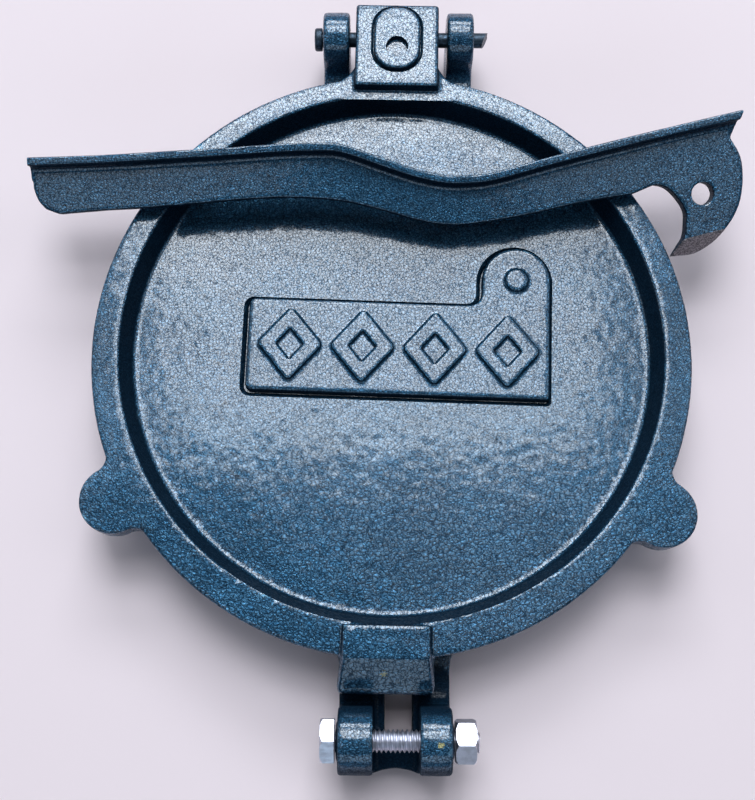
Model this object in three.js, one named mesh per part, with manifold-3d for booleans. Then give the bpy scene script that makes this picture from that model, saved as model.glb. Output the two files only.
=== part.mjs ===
// Cast-iron roti press: a hinged pair of round plates, a loose pressing lever and its pivot bolt.
// Millimetres, +Z up, +Y towards the hinge. The origin is on the floor under the centre of the base disc.

import * as THREE from 'three';
import { mergeVertices } from 'three/addons/utils/BufferGeometryUtils.js';
import Module from 'manifold-3d';

// Driving dimensions of the two plates
const PLATE_RADIUS = 87.8;      // upper plate, outside
const PLATE_THICKNESS = 11.6;
const RIM_WIDTH = 8.1;          // flat top of the rim
const PAN_WALL = 2.8;           // plan width of the steep wall down to the pan
const PAN_DEPTH = 7.8;
const PAN_OFFSET_Y = 1.7;       // the pan was cast a little off centre
const BASE_SETBACK = 2.2;       // the base disc is this much smaller in radius
const BASE_THICKNESS = 12.0;
const CLOSED_GAP = 0.4;         // between the two pressing faces
const EDGE_ROUND = 0.9;         // cast edges of both discs

// Driving dimensions of the rear hinge
const HINGE_REACH = 15.1;       // pin axis behind the upper plate's edge
const HINGE_DROP = 6.0;         // pin axis below the rim's top
const HINGE_PIN_RADIUS = 2.3;
const HINGE_GAP_WIDTH = 30.0;   // between the rear ears
const HINGE_EAR_THICKNESS = 8.4;
const HINGE_EAR_RADIUS = 8.3;
const HINGE_SIDE_PLAY = 2.2;    // lug to ear, each side
const PLATE_YAW_DEG = -0.75;    // the plate sits askew within that play
const LUG_SHIFT_X = -0.4;       // and a little to the left

// Driving dimensions of the front clevis and its bolt
const BOLT_REACH = 21.6;        // bolt axis in front of the upper plate's edge
const BOLT_DROP = 2.0;          // bolt axis below the rim's top
const BOLT_RADIUS = 3.175;
const BOLT_TAIL = 0.9;          // bolt end beyond the nut
const BOLT_PITCH = 1.27;
const CLEVIS_GAP_WIDTH = 12.8;  // between the front ears
const CLEVIS_EAR_THICKNESS = 9.4;
const CLEVIS_EAR_EXTRA = 0.4;   // the left ear is this much thicker, the right ear thinner
const CLEVIS_EAR_RADIUS = 9.3;

// Driving dimensions of the lever
const LEVER_LENGTH = 207.0;
const LEVER_DEPTH = 16.0;       // web and flange together, along the web
const WEB_THICKNESS = 5.5;
const FLANGE_THICKNESS = 2.65;
const FLANGE_STAND = 3.8;       // how far the flange stands out from each face of the web
const EYE_CLEARANCE = 0.25;     // radial, the eye around the bolt

const PIN_CLEARANCE = 0.35;     // radial, pins and bolt in their holes
const SEAT_GAP = 0.3;           // between faces that touch
const OVERRUN = 2.0;            // how far a cutting solid runs past the face it cuts
const EMBED = 1.0;              // how far a joined feature runs into its carrier

// Worked-out radii, levels and places
const RIM_INNER_RADIUS = PLATE_RADIUS - RIM_WIDTH;
const PAN_RADIUS = RIM_INNER_RADIUS - PAN_WALL;
const BASE_RADIUS = PLATE_RADIUS - BASE_SETBACK;
const PLATE_BOTTOM = BASE_THICKNESS + CLOSED_GAP;
const RIM_TOP = PLATE_BOTTOM + PLATE_THICKNESS;
const PAN_TOP = RIM_TOP - PAN_DEPTH;
const HINGE_Y = PLATE_RADIUS + HINGE_REACH;
const HINGE_Z = RIM_TOP - HINGE_DROP;
const HINGE_OUTER = HINGE_GAP_WIDTH / 2 + HINGE_EAR_THICKNESS;
const BOLT_Y = -(PLATE_RADIUS + BOLT_REACH);
const BOLT_Z = RIM_TOP - BOLT_DROP;
const CLEVIS_LEFT = CLEVIS_GAP_WIDTH / 2 + CLEVIS_EAR_THICKNESS + CLEVIS_EAR_EXTRA;
const CLEVIS_RIGHT = CLEVIS_GAP_WIDTH / 2 + CLEVIS_EAR_THICKNESS - CLEVIS_EAR_EXTRA;
const RAD = Math.PI / 180;

const wasm = await Module();
wasm.setup();

// Materials
const hammertone = new THREE.MeshStandardMaterial({ color: 0x2f5f78, roughness: 0.35, metalness: 0.4 });
const zinc = new THREE.MeshStandardMaterial({ color: 0xb9bcc4, roughness: 0.35, metalness: 0.9 });
const darkSteel = new THREE.MeshStandardMaterial({ color: 0x1d2836, roughness: 0.4, metalness: 0.7 });

// A closed geometry as a solid that can be joined and cut
function solid(geometry) {
  const bare = geometry.clone();
  bare.deleteAttribute('normal');
  bare.deleteAttribute('uv');
  const merged = mergeVertices(bare, 1e-4);
  const mesh = new wasm.Mesh({
    numProp: 3,
    vertProperties: new Float32Array(merged.attributes.position.array),
    triVerts: new Uint32Array(merged.index.array),
  });
  return new wasm.Manifold(mesh);
}

// A finished solid as a named mesh of the scene
function named(name, body, material) {
  const mesh = body.getMesh();
  const geometry = new THREE.BufferGeometry();
  geometry.setAttribute('position', new THREE.BufferAttribute(new Float32Array(mesh.vertProperties), 3));
  geometry.setIndex(new THREE.BufferAttribute(new Uint32Array(mesh.triVerts), 1));
  geometry.computeVertexNormals();
  const piece = new THREE.Mesh(geometry, material);
  piece.name = name;
  return piece;
}

// A plan outline in X and Y, raised from z = low to z = high
function upright(shape, low, high, curveSegments = 24) {
  const depth = high - low;
  const geometry = new THREE.ExtrudeGeometry(shape, { depth, bevelEnabled: false, curveSegments });
  geometry.translate(0, 0, low);
  return geometry;
}

// A side outline in Y and Z, run along X from low to high
function sideways(shape, low, high, curveSegments = 24) {
  const depth = high - low;
  const geometry = new THREE.ExtrudeGeometry(shape, { depth, bevelEnabled: false, curveSegments });
  const turn = new THREE.Matrix4().makeBasis(
    new THREE.Vector3(0, 1, 0),
    new THREE.Vector3(0, 0, 1),
    new THREE.Vector3(1, 0, 0),
  );
  geometry.applyMatrix4(turn);
  geometry.translate(low, 0, 0);
  return geometry;
}

// A profile of radius and height turned about the Z axis
function turned(points, segments) {
  const profile = points.map(([r, z]) => new THREE.Vector2(r, z));
  return new THREE.LatheGeometry(profile, segments).rotateX(Math.PI / 2);
}

// The same about an axis along X, with the profile's height running along X
function turnedAlongX(points, segments, y, z) {
  return turned(points, segments).rotateY(Math.PI / 2).translate(0, y, z);
}

function rod(radius, low, high, y, z, segments = 28) {
  return turnedAlongX([[0, low], [radius, low], [radius, high], [0, high]], segments, y, z);
}

// A disc's profile with rounded rims, as radius and height points
function discProfile(radius, low, high, round, steps = 3) {
  const points = [[0, low]];
  for (let i = 0; i <= steps; i += 1) {
    const a = (i / steps) * Math.PI / 2;
    points.push([radius - round + round * Math.sin(a), low + round - round * Math.cos(a)]);
  }
  for (let i = 0; i <= steps; i += 1) {
    const a = (i / steps) * Math.PI / 2;
    points.push([radius - round + round * Math.cos(a), high - round + round * Math.sin(a)]);
  }
  points.push([0, high]);
  return points;
}

function polygon(points) {
  return new THREE.Shape(points.map(([x, y]) => new THREE.Vector2(x, y)));
}

function roundedRectangle(width, height, radius) {
  const shape = new THREE.Shape();
  const x = width / 2;
  const y = height / 2;
  shape.moveTo(-x + radius, -y);
  shape.lineTo(x - radius, -y);
  shape.absarc(x - radius, -y + radius, radius, -Math.PI / 2, 0, false);
  shape.lineTo(x, y - radius);
  shape.absarc(x - radius, y - radius, radius, 0, Math.PI / 2, false);
  shape.lineTo(-x + radius, y);
  shape.absarc(-x + radius, y - radius, radius, Math.PI / 2, Math.PI, false);
  shape.lineTo(-x, -y + radius);
  shape.absarc(-x + radius, -y + radius, radius, Math.PI, Math.PI * 1.5, false);
  return shape;
}

// Base casting: the lower disc, two rear arms with ears, and the slotted front tongue with its ears

const BASE = {
  recessDepth: 3.0,          // six weight-saving pockets under the disc
  pockets: 6,
  padRadius: 20.0,
  pocketSkirt: 12.0,         // solid edge outside the pockets
  ribWidth: 8.0,
  armOverlap: 14.0,          // how far the rear arms reach into the disc
  tongueOverlap: 10.0,       // and the front tongue
  tongueFlare: 5.0,          // extra half width at the disc
  tongueFlareLength: 13.0,
  tongueDrop: 1.0,           // tongue's top below the disc's
  tongueFrontRound: 3.0,
  frontHollow: 1.4,          // how far the front edge draws in between the ears
  tongueReach: 9.6,          // tongue beyond the bolt axis
  slotWidth: 7.8,
  slotShift: 0.8,
  slotLength: 20.1,
  slotReach: 3.2,            // slot beyond the bolt axis
  rampLength: 5.0,
  rampRise: 3.4,
  bossWidth: 1.8,            // spot face around the bolt hole
  bossHeight: 0.5,
};
const POCKET_RADIUS = BASE_RADIUS - BASE.pocketSkirt;
const ARM_ROOT = BASE_RADIUS - BASE.armOverlap;
const TONGUE_ROOT = BASE_RADIUS - BASE.tongueOverlap;
const TONGUE_TOP = BASE_THICKNESS - BASE.tongueDrop;
const BOSS_LEFT = CLEVIS_LEFT + BASE.bossHeight;
const BOSS_RIGHT = CLEVIS_RIGHT + BASE.bossHeight;

function basePocket(index) {
  const wedge = (Math.PI * 2) / BASE.pockets;
  const inner = BASE.padRadius;
  const outer = POCKET_RADIUS;
  const start = index * wedge + Math.asin(BASE.ribWidth / 2 / inner);
  const end = (index + 1) * wedge - Math.asin(BASE.ribWidth / 2 / inner);
  const outerStart = index * wedge + Math.asin(BASE.ribWidth / 2 / outer);
  const outerEnd = (index + 1) * wedge - Math.asin(BASE.ribWidth / 2 / outer);
  const shape = new THREE.Shape();
  shape.absarc(0, 0, outer, outerStart, outerEnd, false);
  shape.absarc(0, 0, inner, end, start, true);
  return solid(upright(shape, -OVERRUN, BASE.recessDepth, 9));
}

function rearArm(side) {
  const r = HINGE_EAR_RADIUS;
  const shape = new THREE.Shape();
  shape.moveTo(ARM_ROOT, 0);
  shape.lineTo(HINGE_Y - r / 2, 0);
  shape.quadraticCurveTo(HINGE_Y + r, 0, HINGE_Y + r, HINGE_Z);
  shape.absarc(HINGE_Y, HINGE_Z, r, 0, Math.PI, false);
  shape.quadraticCurveTo(HINGE_Y - r, BASE_THICKNESS, HINGE_Y - r - r / 2, BASE_THICKNESS);
  shape.lineTo(ARM_ROOT, BASE_THICKNESS);
  const inner = side * HINGE_GAP_WIDTH / 2;
  const outer = side * HINGE_OUTER;
  return solid(sideways(shape, Math.min(inner, outer), Math.max(inner, outer), 8));
}

function tongueOutline() {
  const left = -CLEVIS_LEFT;
  const right = CLEVIS_RIGHT;
  const front = BOLT_Y - BASE.tongueReach;
  const neck = -(TONGUE_ROOT + BASE.tongueFlareLength);
  const round = BASE.tongueFrontRound;
  const shape = new THREE.Shape();
  shape.moveTo(right + BASE.tongueFlare, -TONGUE_ROOT);
  shape.lineTo(left - BASE.tongueFlare, -TONGUE_ROOT);
  shape.quadraticCurveTo(left, neck + round, left, neck - round);
  shape.lineTo(left, front + round);
  shape.absarc(left + round, front + round, round, Math.PI, Math.PI * 1.5, false);
  shape.lineTo(-CLEVIS_GAP_WIDTH / 2, front);
  shape.quadraticCurveTo(0, front + 2 * BASE.frontHollow, CLEVIS_GAP_WIDTH / 2, front);
  shape.lineTo(right - round, front);
  shape.absarc(right - round, front + round, round, -Math.PI / 2, 0, false);
  shape.lineTo(right, neck - round);
  shape.quadraticCurveTo(right, neck + round, right + BASE.tongueFlare, -TONGUE_ROOT);
  return shape;
}

function frontEar(side) {
  const r = CLEVIS_EAR_RADIUS;
  const back = BOLT_Y + r;
  const shape = new THREE.Shape();
  shape.moveTo(BOLT_Y - r + BASE.tongueFrontRound, 0);
  shape.lineTo(-TONGUE_ROOT, 0);
  shape.lineTo(-TONGUE_ROOT, TONGUE_TOP);
  shape.lineTo(back + BASE.rampLength, TONGUE_TOP);
  shape.quadraticCurveTo(back, TONGUE_TOP, back, TONGUE_TOP + BASE.rampRise);
  shape.lineTo(back, BOLT_Z);
  shape.absarc(BOLT_Y, BOLT_Z, r, 0, Math.PI, false);
  shape.lineTo(BOLT_Y - r, BASE.tongueFrontRound);
  const inner = side * CLEVIS_GAP_WIDTH / 2;
  const outer = side < 0 ? -CLEVIS_LEFT : CLEVIS_RIGHT;
  return solid(sideways(shape, Math.min(inner, outer), Math.max(inner, outer), 8));
}

function basePlate() {
  let body = solid(turned(discProfile(BASE_RADIUS, 0, BASE_THICKNESS, EDGE_ROUND), 96));
  for (const side of [-1, 1]) {
    body = body.add(rearArm(side)).add(frontEar(side));
  }
  body = body.add(solid(upright(tongueOutline(), 0, TONGUE_TOP)));
  const boss = BOLT_RADIUS + BASE.bossWidth;
  body = body.add(solid(rod(boss, -BOSS_LEFT, EMBED - CLEVIS_LEFT, BOLT_Y, BOLT_Z)));
  body = body.add(solid(rod(boss, CLEVIS_RIGHT - EMBED, BOSS_RIGHT, BOLT_Y, BOLT_Z)));
  for (let i = 0; i < BASE.pockets; i += 1) body = body.subtract(basePocket(i));
  const slot = roundedRectangle(BASE.slotWidth, BASE.slotLength, BASE.slotWidth / 6);
  const slotY = BOLT_Y - BASE.slotReach + BASE.slotLength / 2;
  const slotCut = upright(slot, -OVERRUN, TONGUE_TOP + OVERRUN, 4).translate(BASE.slotShift, slotY, 0);
  body = body.subtract(solid(slotCut));
  const boltHole = BOLT_RADIUS + PIN_CLEARANCE;
  const bolts = BOSS_LEFT + OVERRUN;
  body = body.subtract(solid(rod(boltHole, -bolts, bolts, BOLT_Y, BOLT_Z)));
  const ears = HINGE_OUTER + OVERRUN;
  body = body.subtract(solid(rod(HINGE_PIN_RADIUS + PIN_CLEARANCE, -ears, ears, HINGE_Y, HINGE_Z)));
  return named('base_plate', body, hammertone);
}

// Upper plate casting: rim, sunk pan, two finger tabs, rear hinge lug, front pressing lug, ornament

const UPPER = {
  tabRightDeg: 30.2,         // right tab, forwards of the X axis
  tabLeftDeg: 29.5,          // left tab
  tabReach: 2.6,             // centre of the tab's round end beyond the plate's edge
  tabRadius: 9.8,
  tabThickness: 8.0,
  tabFillet: 6.0,
  backLugStep: 1.5,          // strip of rim left in front of the lug
  backLugTail: 7.3,          // lug behind the pin axis
  backLugRise: 3.5,          // top face above the rim
  backLugRound: 1.4,
  barrelWall: 5.0,           // lug metal around the pin
  flareWidth: 13.4,          // neck fillets beside the lug
  flareReach: 5.5,
  frontLugWidth: 26.8,
  frontLugTopWidth: 24.2,
  frontLugFlat: 8.9,         // flat top, front to back
  frontLugSlope: 8.4,        // plan length of the slope in front of it
  frontLugRise: 4.5,
  frontLugLip: 1.0,          // foot of the slope below the rim's level
  frontLugRound: 1.5,
};
const BACK_LUG_WIDTH = HINGE_GAP_WIDTH - 2 * HINGE_SIDE_PLAY;
const BACK_LUG_FRONT = RIM_INNER_RADIUS + PAN_OFFSET_Y + UPPER.backLugStep;
const BACK_LUG_BACK = HINGE_Y + UPPER.backLugTail;
const FRONT_LUG_BACK = RIM_INNER_RADIUS - PAN_OFFSET_Y + SEAT_GAP;
const FRONT_LUG_CREASE = FRONT_LUG_BACK + UPPER.frontLugFlat;
const FRONT_LUG_FRONT = FRONT_LUG_CREASE + UPPER.frontLugSlope + UPPER.frontLugRound;

const ORNAMENT = {
  plaqueWidth: 90.4,
  plaqueHeight: 28.5,
  plaqueRound: 2.0,
  plaqueX: 2.1,
  plaqueY: 3.3,
  plaqueTurnDeg: -1.0,       // the plaque sits askew on the pan
  plaqueRelief: 1.3,
  crestWidth: 20.8,          // round-topped tab on the plaque's right end
  crestRise: 18.4,
  crestFillet: 4.5,
  crestDiscRadius: 3.6,
  relief: 1.1,
  lozenges: 4,
  lozengePitch: 21.6,
  lozengeWidth: 19.4,
  lozengeHeight: 22.6,
  lozengeBand: 4.2,
  linkWidth: 14.4,           // raised link on the back lug
  linkHeight: 20.6,
  linkY: 98.4,
  linkHoleRadius: 3.2,
  linkHoleY: 95.4,
};

function tab(side) {
  const shape = new THREE.Shape();
  const w = UPPER.tabRadius;
  const root = RIM_INNER_RADIUS + (PLATE_RADIUS - RIM_INNER_RADIUS) / 2;
  const fillet = UPPER.tabFillet;
  const centre = PLATE_RADIUS + UPPER.tabReach;
  shape.moveTo(root, -w - fillet);
  shape.quadraticCurveTo(PLATE_RADIUS, -w, centre, -w);
  shape.absarc(centre, 0, w, -Math.PI / 2, Math.PI / 2, false);
  shape.quadraticCurveTo(PLATE_RADIUS, w, root, w + fillet);
  const geometry = upright(shape, RIM_TOP - UPPER.tabThickness, RIM_TOP, 10);
  const angle = side > 0 ? -UPPER.tabRightDeg * RAD : Math.PI + UPPER.tabLeftDeg * RAD;
  return solid(geometry.rotateZ(angle));
}

function backLug() {
  const top = RIM_TOP + UPPER.backLugRise;
  const round = UPPER.backLugRound;
  const r = HINGE_PIN_RADIUS + UPPER.barrelWall;
  const shape = new THREE.Shape();
  shape.moveTo(BACK_LUG_FRONT, PLATE_BOTTOM);
  shape.lineTo(HINGE_Y - r, PLATE_BOTTOM);
  shape.absarc(HINGE_Y, HINGE_Z, r, Math.PI * 1.2, Math.PI * 2, false);
  shape.lineTo(BACK_LUG_BACK, top - round);
  shape.absarc(BACK_LUG_BACK - round, top - round, round, 0, Math.PI / 2, false);
  shape.lineTo(BACK_LUG_FRONT, top);
  const half = BACK_LUG_WIDTH / 2;
  const lug = solid(sideways(shape, -half, half, 8));
  const plan = roundedRectangle(BACK_LUG_WIDTH, BACK_LUG_BACK - BACK_LUG_FRONT, round);
  const keep = upright(plan, 0, top + OVERRUN, 4);
  keep.translate(0, (BACK_LUG_BACK + BACK_LUG_FRONT) / 2, 0);
  return lug.intersect(solid(keep));
}

function neckFlares() {
  const half = BACK_LUG_WIDTH / 2;
  const out = half + UPPER.flareWidth;
  const back = PLATE_RADIUS + UPPER.flareReach;
  const rimY = Math.sqrt(PLATE_RADIUS ** 2 - out ** 2);
  const inside = rimY - (PLATE_RADIUS - RIM_INNER_RADIUS) / 2;
  const shape = new THREE.Shape();
  shape.moveTo(-out, inside);
  shape.lineTo(out, inside);
  shape.lineTo(out, rimY);
  shape.quadraticCurveTo(half + EMBED, rimY + EDGE_ROUND, half - EMBED, back + EMBED);
  shape.lineTo(-half + EMBED, back + EMBED);
  shape.quadraticCurveTo(-half - EMBED, rimY + EDGE_ROUND, -out, rimY);
  return solid(upright(shape, PLATE_BOTTOM, RIM_TOP, 8));
}

function frontLug() {
  const top = RIM_TOP + UPPER.frontLugRise;
  const lip = RIM_TOP - UPPER.frontLugLip;
  const round = UPPER.frontLugRound;
  const run = FRONT_LUG_FRONT - round - FRONT_LUG_CREASE;
  const rimPoint = FRONT_LUG_CREASE + run * (top - RIM_TOP) / (top - lip);
  const shape = polygon([
    [-FRONT_LUG_BACK, PAN_TOP],
    [-FRONT_LUG_BACK, RIM_TOP],
    [-FRONT_LUG_BACK, top],
    [-FRONT_LUG_CREASE, top],
    [-rimPoint, RIM_TOP],
    [-FRONT_LUG_FRONT + round, lip],
    [-FRONT_LUG_FRONT, lip - round],
    [-FRONT_LUG_FRONT, PLATE_BOTTOM + round],
    [-FRONT_LUG_FRONT + round, PLATE_BOTTOM],
    [-FRONT_LUG_BACK, PLATE_BOTTOM],
  ]);
  const half = UPPER.frontLugWidth / 2;
  const geometry = sideways(shape, -half, half);
  const narrowing = (UPPER.frontLugWidth - UPPER.frontLugTopWidth) / UPPER.frontLugWidth;
  const position = geometry.attributes.position;
  for (let i = 0; i < position.count; i += 1) {
    const rise = Math.max(0, position.getZ(i) - RIM_TOP) / UPPER.frontLugRise;
    position.setX(i, position.getX(i) * (1 - narrowing * rise));
  }
  return solid(geometry);
}

function panCut() {
  const slope = (RIM_INNER_RADIUS - PAN_RADIUS) / PAN_DEPTH;
  const profile = [
    [0, PAN_TOP],
    [PAN_RADIUS, PAN_TOP],
    [RIM_INNER_RADIUS + slope * OVERRUN, RIM_TOP + OVERRUN],
    [0, RIM_TOP + OVERRUN],
  ];
  return solid(turned(profile, 96).translate(0, PAN_OFFSET_Y, 0));
}

function lozenge(width, height) {
  return polygon([[width / 2, 0], [0, height / 2], [-width / 2, 0], [0, -height / 2]]);
}

// The plaque's outline: a rectangle with a round-topped crest on its right end
function plaqueOutline() {
  const o = ORNAMENT;
  const x = o.plaqueWidth / 2;
  const y = o.plaqueHeight / 2;
  const r = o.plaqueRound;
  const half = o.crestWidth / 2;
  const shape = new THREE.Shape();
  shape.moveTo(-x + r, -y);
  shape.lineTo(x, -y);
  shape.lineTo(x, y + o.crestRise - half);
  shape.absarc(x - half, y + o.crestRise - half, half, 0, Math.PI, false);
  shape.lineTo(x - 2 * half, y + o.crestFillet);
  shape.quadraticCurveTo(x - 2 * half, y, x - 2 * half - o.crestFillet, y);
  shape.lineTo(-x + r, y);
  shape.absarc(-x + r, y - r, r, Math.PI / 2, Math.PI, false);
  shape.lineTo(-x, -y + r);
  shape.absarc(-x + r, -y + r, r, Math.PI, Math.PI * 1.5, false);
  return shape;
}

// A plain plaque with a row of raised lozenges, each with a sunk middle, and a raised disc in its crest
function plaque() {
  const o = ORNAMENT;
  const face = PAN_TOP + o.plaqueRelief;
  const top = face + o.relief;
  let body = solid(upright(plaqueOutline(), PAN_TOP - EMBED, face, 8));
  const inner = 1 - (2 * o.lozengeBand) / o.lozengeHeight;
  for (let i = 0; i < o.lozenges; i += 1) {
    const x = (i - (o.lozenges - 1) / 2) * o.lozengePitch;
    const shape = lozenge(o.lozengeWidth, o.lozengeHeight);
    shape.holes.push(lozenge(o.lozengeWidth * inner, o.lozengeHeight * inner));
    body = body.add(solid(upright(shape, PAN_TOP, top).translate(x, 0, 0)));
  }
  const disc = new THREE.Shape();
  disc.absarc(0, 0, o.crestDiscRadius, 0, Math.PI * 2, false);
  const crestX = o.plaqueWidth / 2 - o.crestWidth / 2;
  const crestY = o.plaqueHeight / 2 + o.crestRise - o.crestWidth / 2;
  body = body.add(solid(upright(disc, PAN_TOP, top, 12).translate(crestX, crestY, 0)));
  return body.rotate([0, 0, o.plaqueTurnDeg]).translate([o.plaqueX, o.plaqueY, 0]);
}

// A raised link with one round hollow
function lugLink() {
  const o = ORNAMENT;
  const top = RIM_TOP + UPPER.backLugRise;
  const shape = roundedRectangle(o.linkWidth, o.linkHeight, o.linkWidth * 0.46);
  const hole = new THREE.Path();
  hole.absarc(0, o.linkHoleY - o.linkY, o.linkHoleRadius, 0, Math.PI * 2, true);
  shape.holes.push(hole);
  return solid(upright(shape, top - EMBED, top + o.relief, 10).translate(0, o.linkY, 0));
}

function upperPlate() {
  let body = solid(turned(discProfile(PLATE_RADIUS, PLATE_BOTTOM, RIM_TOP, EDGE_ROUND), 96));
  body = body.add(tab(-1)).add(tab(1)).add(neckFlares()).subtract(panCut());
  body = body.add(backLug()).add(frontLug()).add(plaque()).add(lugLink());
  body = body.translate([0, -HINGE_Y, 0]).rotate([0, 0, PLATE_YAW_DEG]).translate([LUG_SHIFT_X, HINGE_Y, 0]);
  const reach = HINGE_GAP_WIDTH / 2;
  body = body.subtract(solid(rod(HINGE_PIN_RADIUS + PIN_CLEARANCE, -reach, reach, HINGE_Y, HINGE_Z)));
  return named('upper_plate', body, hammertone);
}

// Hinge pin: a rivet with its head on the left and a plain tail on the right

const PIN = { headRadius: 3.55, headThickness: 2.4, headRound: 0.6, tail: 4.6, tailChamfer: 0.5 };

function hingePin() {
  const head = -HINGE_OUTER - SEAT_GAP;
  const end = HINGE_OUTER + PIN.tail;
  const profile = [
    [0, head - PIN.headThickness],
    [PIN.headRadius - PIN.headRound, head - PIN.headThickness],
    [PIN.headRadius, head - PIN.headThickness + PIN.headRound],
    [PIN.headRadius, head - PIN.headRound / 2],
    [PIN.headRadius - PIN.headRound / 2, head],
    [HINGE_PIN_RADIUS, head],
    [HINGE_PIN_RADIUS, end - PIN.tailChamfer],
    [HINGE_PIN_RADIUS - PIN.tailChamfer, end],
    [0, end],
  ];
  return named('hinge_pin', solid(turnedAlongX(profile, 32, HINGE_Y, HINGE_Z)), darkSteel);
}

// Pivot bolt and nut: hexagons chamfered by a turned blank, a helical thread on the bolt

const FASTENER = {
  headFlats: 11.6,
  headThickness: 3.9,
  nutFlats: 11.1,
  nutThickness: 5.7,
  nutTurnDeg: -22.0,
  cornerChamfer: 0.9,
  threadDepth: 0.72,
  threadTurnSteps: 12,
  threadPitchSteps: 4,
};

function hexagon(flats, low, high, turnDeg) {
  const radius = flats / Math.sqrt(3);
  const points = [];
  for (let i = 0; i < 6; i += 1) {
    const a = (turnDeg + 60 * i) * RAD;
    points.push([radius * Math.cos(a), radius * Math.sin(a)]);
  }
  const bar = sideways(polygon(points), low, high).translate(0, BOLT_Y, BOLT_Z);
  return solid(bar);
}

// A disc whose chamfered ends take the corners off a hexagon
function hexBlank(flats, low, high, lowChamfer, highChamfer) {
  const corner = flats / Math.sqrt(3);
  const flat = flats / 2;
  const profile = [
    [0, low],
    [lowChamfer ? flat : corner, low],
    [corner, low + lowChamfer],
    [corner, high - highChamfer],
    [highChamfer ? flat : corner, high],
    [0, high],
  ];
  return solid(turnedAlongX(profile, 36, BOLT_Y, BOLT_Z));
}

// A rod along X whose radius follows a helical thread from threadLow to high
function threadedRod(low, threadLow, high) {
  const around = FASTENER.threadTurnSteps;
  const step = BOLT_PITCH / FASTENER.threadPitchSteps;
  const rings = [low, threadLow - step];
  const count = Math.floor((high - threadLow) / step);
  for (let i = 0; i <= count; i += 1) rings.push(threadLow + i * (high - threadLow) / count);
  const radiusAt = (x, turn) => {
    if (x < threadLow) return BOLT_RADIUS;
    const phase = (((x - threadLow) / BOLT_PITCH - turn) % 1 + 1) % 1;
    return BOLT_RADIUS - FASTENER.threadDepth * Math.abs(2 * phase - 1);
  };
  const positions = [];
  for (const x of rings) {
    for (let j = 0; j < around; j += 1) {
      const a = (j / around) * Math.PI * 2;
      const r = radiusAt(x, j / around);
      positions.push(x, BOLT_Y + r * Math.cos(a), BOLT_Z + r * Math.sin(a));
    }
  }
  const first = positions.length / 3;
  positions.push(low, BOLT_Y, BOLT_Z, high, BOLT_Y, BOLT_Z);
  const index = [];
  for (let i = 0; i < rings.length - 1; i += 1) {
    for (let j = 0; j < around; j += 1) {
      const k = (j + 1) % around;
      const a = i * around + j;
      const b = i * around + k;
      index.push(a, b, b + around, a, b + around, a + around);
    }
  }
  const last = (rings.length - 1) * around;
  for (let j = 0; j < around; j += 1) {
    const k = (j + 1) % around;
    index.push(first, k, j, first + 1, last + j, last + k);
  }
  const geometry = new THREE.BufferGeometry();
  geometry.setAttribute('position', new THREE.Float32BufferAttribute(positions, 3));
  geometry.setIndex(index);
  return solid(geometry);
}

function clevisBolt() {
  const seat = -(BOSS_LEFT + SEAT_GAP);
  const low = seat - FASTENER.headThickness;
  const blank = hexBlank(FASTENER.headFlats, low, seat, FASTENER.cornerChamfer, 0);
  const head = hexagon(FASTENER.headFlats, low, seat, 90).intersect(blank);
  const end = BOSS_RIGHT + SEAT_GAP + FASTENER.nutThickness + BOLT_TAIL;
  const shank = threadedRod(seat - EMBED, -CLEVIS_GAP_WIDTH / 2, end);
  return named('clevis_bolt', head.add(shank), zinc);
}

function clevisNut() {
  const low = BOSS_RIGHT + SEAT_GAP;
  const high = low + FASTENER.nutThickness;
  const chamfer = FASTENER.cornerChamfer;
  const blank = hexBlank(FASTENER.nutFlats, low, high, chamfer, chamfer);
  const nut = hexagon(FASTENER.nutFlats, low, high, 60 + FASTENER.nutTurnDeg).intersect(blank);
  const bore = rod(BOLT_RADIUS + PIN_CLEARANCE, low - OVERRUN, high + OVERRUN, BOLT_Y, BOLT_Z);
  return named('clevis_nut', nut.subtract(solid(bore)), zinc);
}

// Lever: a T-section casting. Its own frame has u along the handle, v across the web towards the flange
// and w through the web. Outlines are shares of the lever's length (u) and depth (v).

const CROWN_SHARES = [
  [-0.52, 0.98], [-0.413, 0.987], [-0.317, 1.022], [-0.25, 1.045], [-0.182, 1.081], [-0.125, 1.09],
  [-0.079, 1.05], [-0.024, 0.8], [0.025, 0.57], [0.068, 0.437], [0.105, 0.425], [0.143, 0.487],
  [0.218, 0.722], [0.329, 1.035], [0.404, 1.235], [0.489, 1.455],
];
const LOWER_SHARES = [
  [0.335, -0.006], [0.259, -0.137], [0.182, -0.331], [0.106, -0.462], [0.069, -0.469], [0.03, -0.38],
  [-0.026, -0.156], [-0.083, 0.031], [-0.153, 0.119], [-0.223, 0.106], [-0.291, 0.056], [-0.368, 0.006],
  [-0.423, -0.012], [-0.484, -0.055],
];
const LEFT_END_SHARES = [[-0.502, 0.038], [-0.51, 0.156], [-0.515, 0.288], [-0.518, 0.431]];
const HOOK_SHARES = [
  [0.475, 0.956], [0.489, 0.644], [0.493, 0.256], [0.49, -0.144], [0.481, -0.45], [0.467, -0.712],
  [0.452, -0.944], [0.428, -1.137], [0.403, -1.169],
];
const BAY_SHARES = [
  [0.391, -1.181], [0.403, -0.944], [0.409, -0.806], [0.411, -0.569], [0.41, -0.331], [0.397, -0.069],
  [0.382, 0.1], [0.366, 0.15],
];
const EYE_SHARES = [0.435, -0.032];

const LEVER = {
  filletReach: 3.6,          // sloping fillet between web and flange
  restDepth: 13.5,           // depth between the two lines that the lever lies on
  restY: 46.7,               // where the web's lower edge lies across the rim
  restRise: 0.45,
  turnDeg: 2.2,
  endCutShares: [-0.355, -0.935],
  crownSteps: 44,
};

function leverPoint([u, v]) {
  return new THREE.Vector2(u * LEVER_LENGTH, v * LEVER_DEPTH);
}

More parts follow.
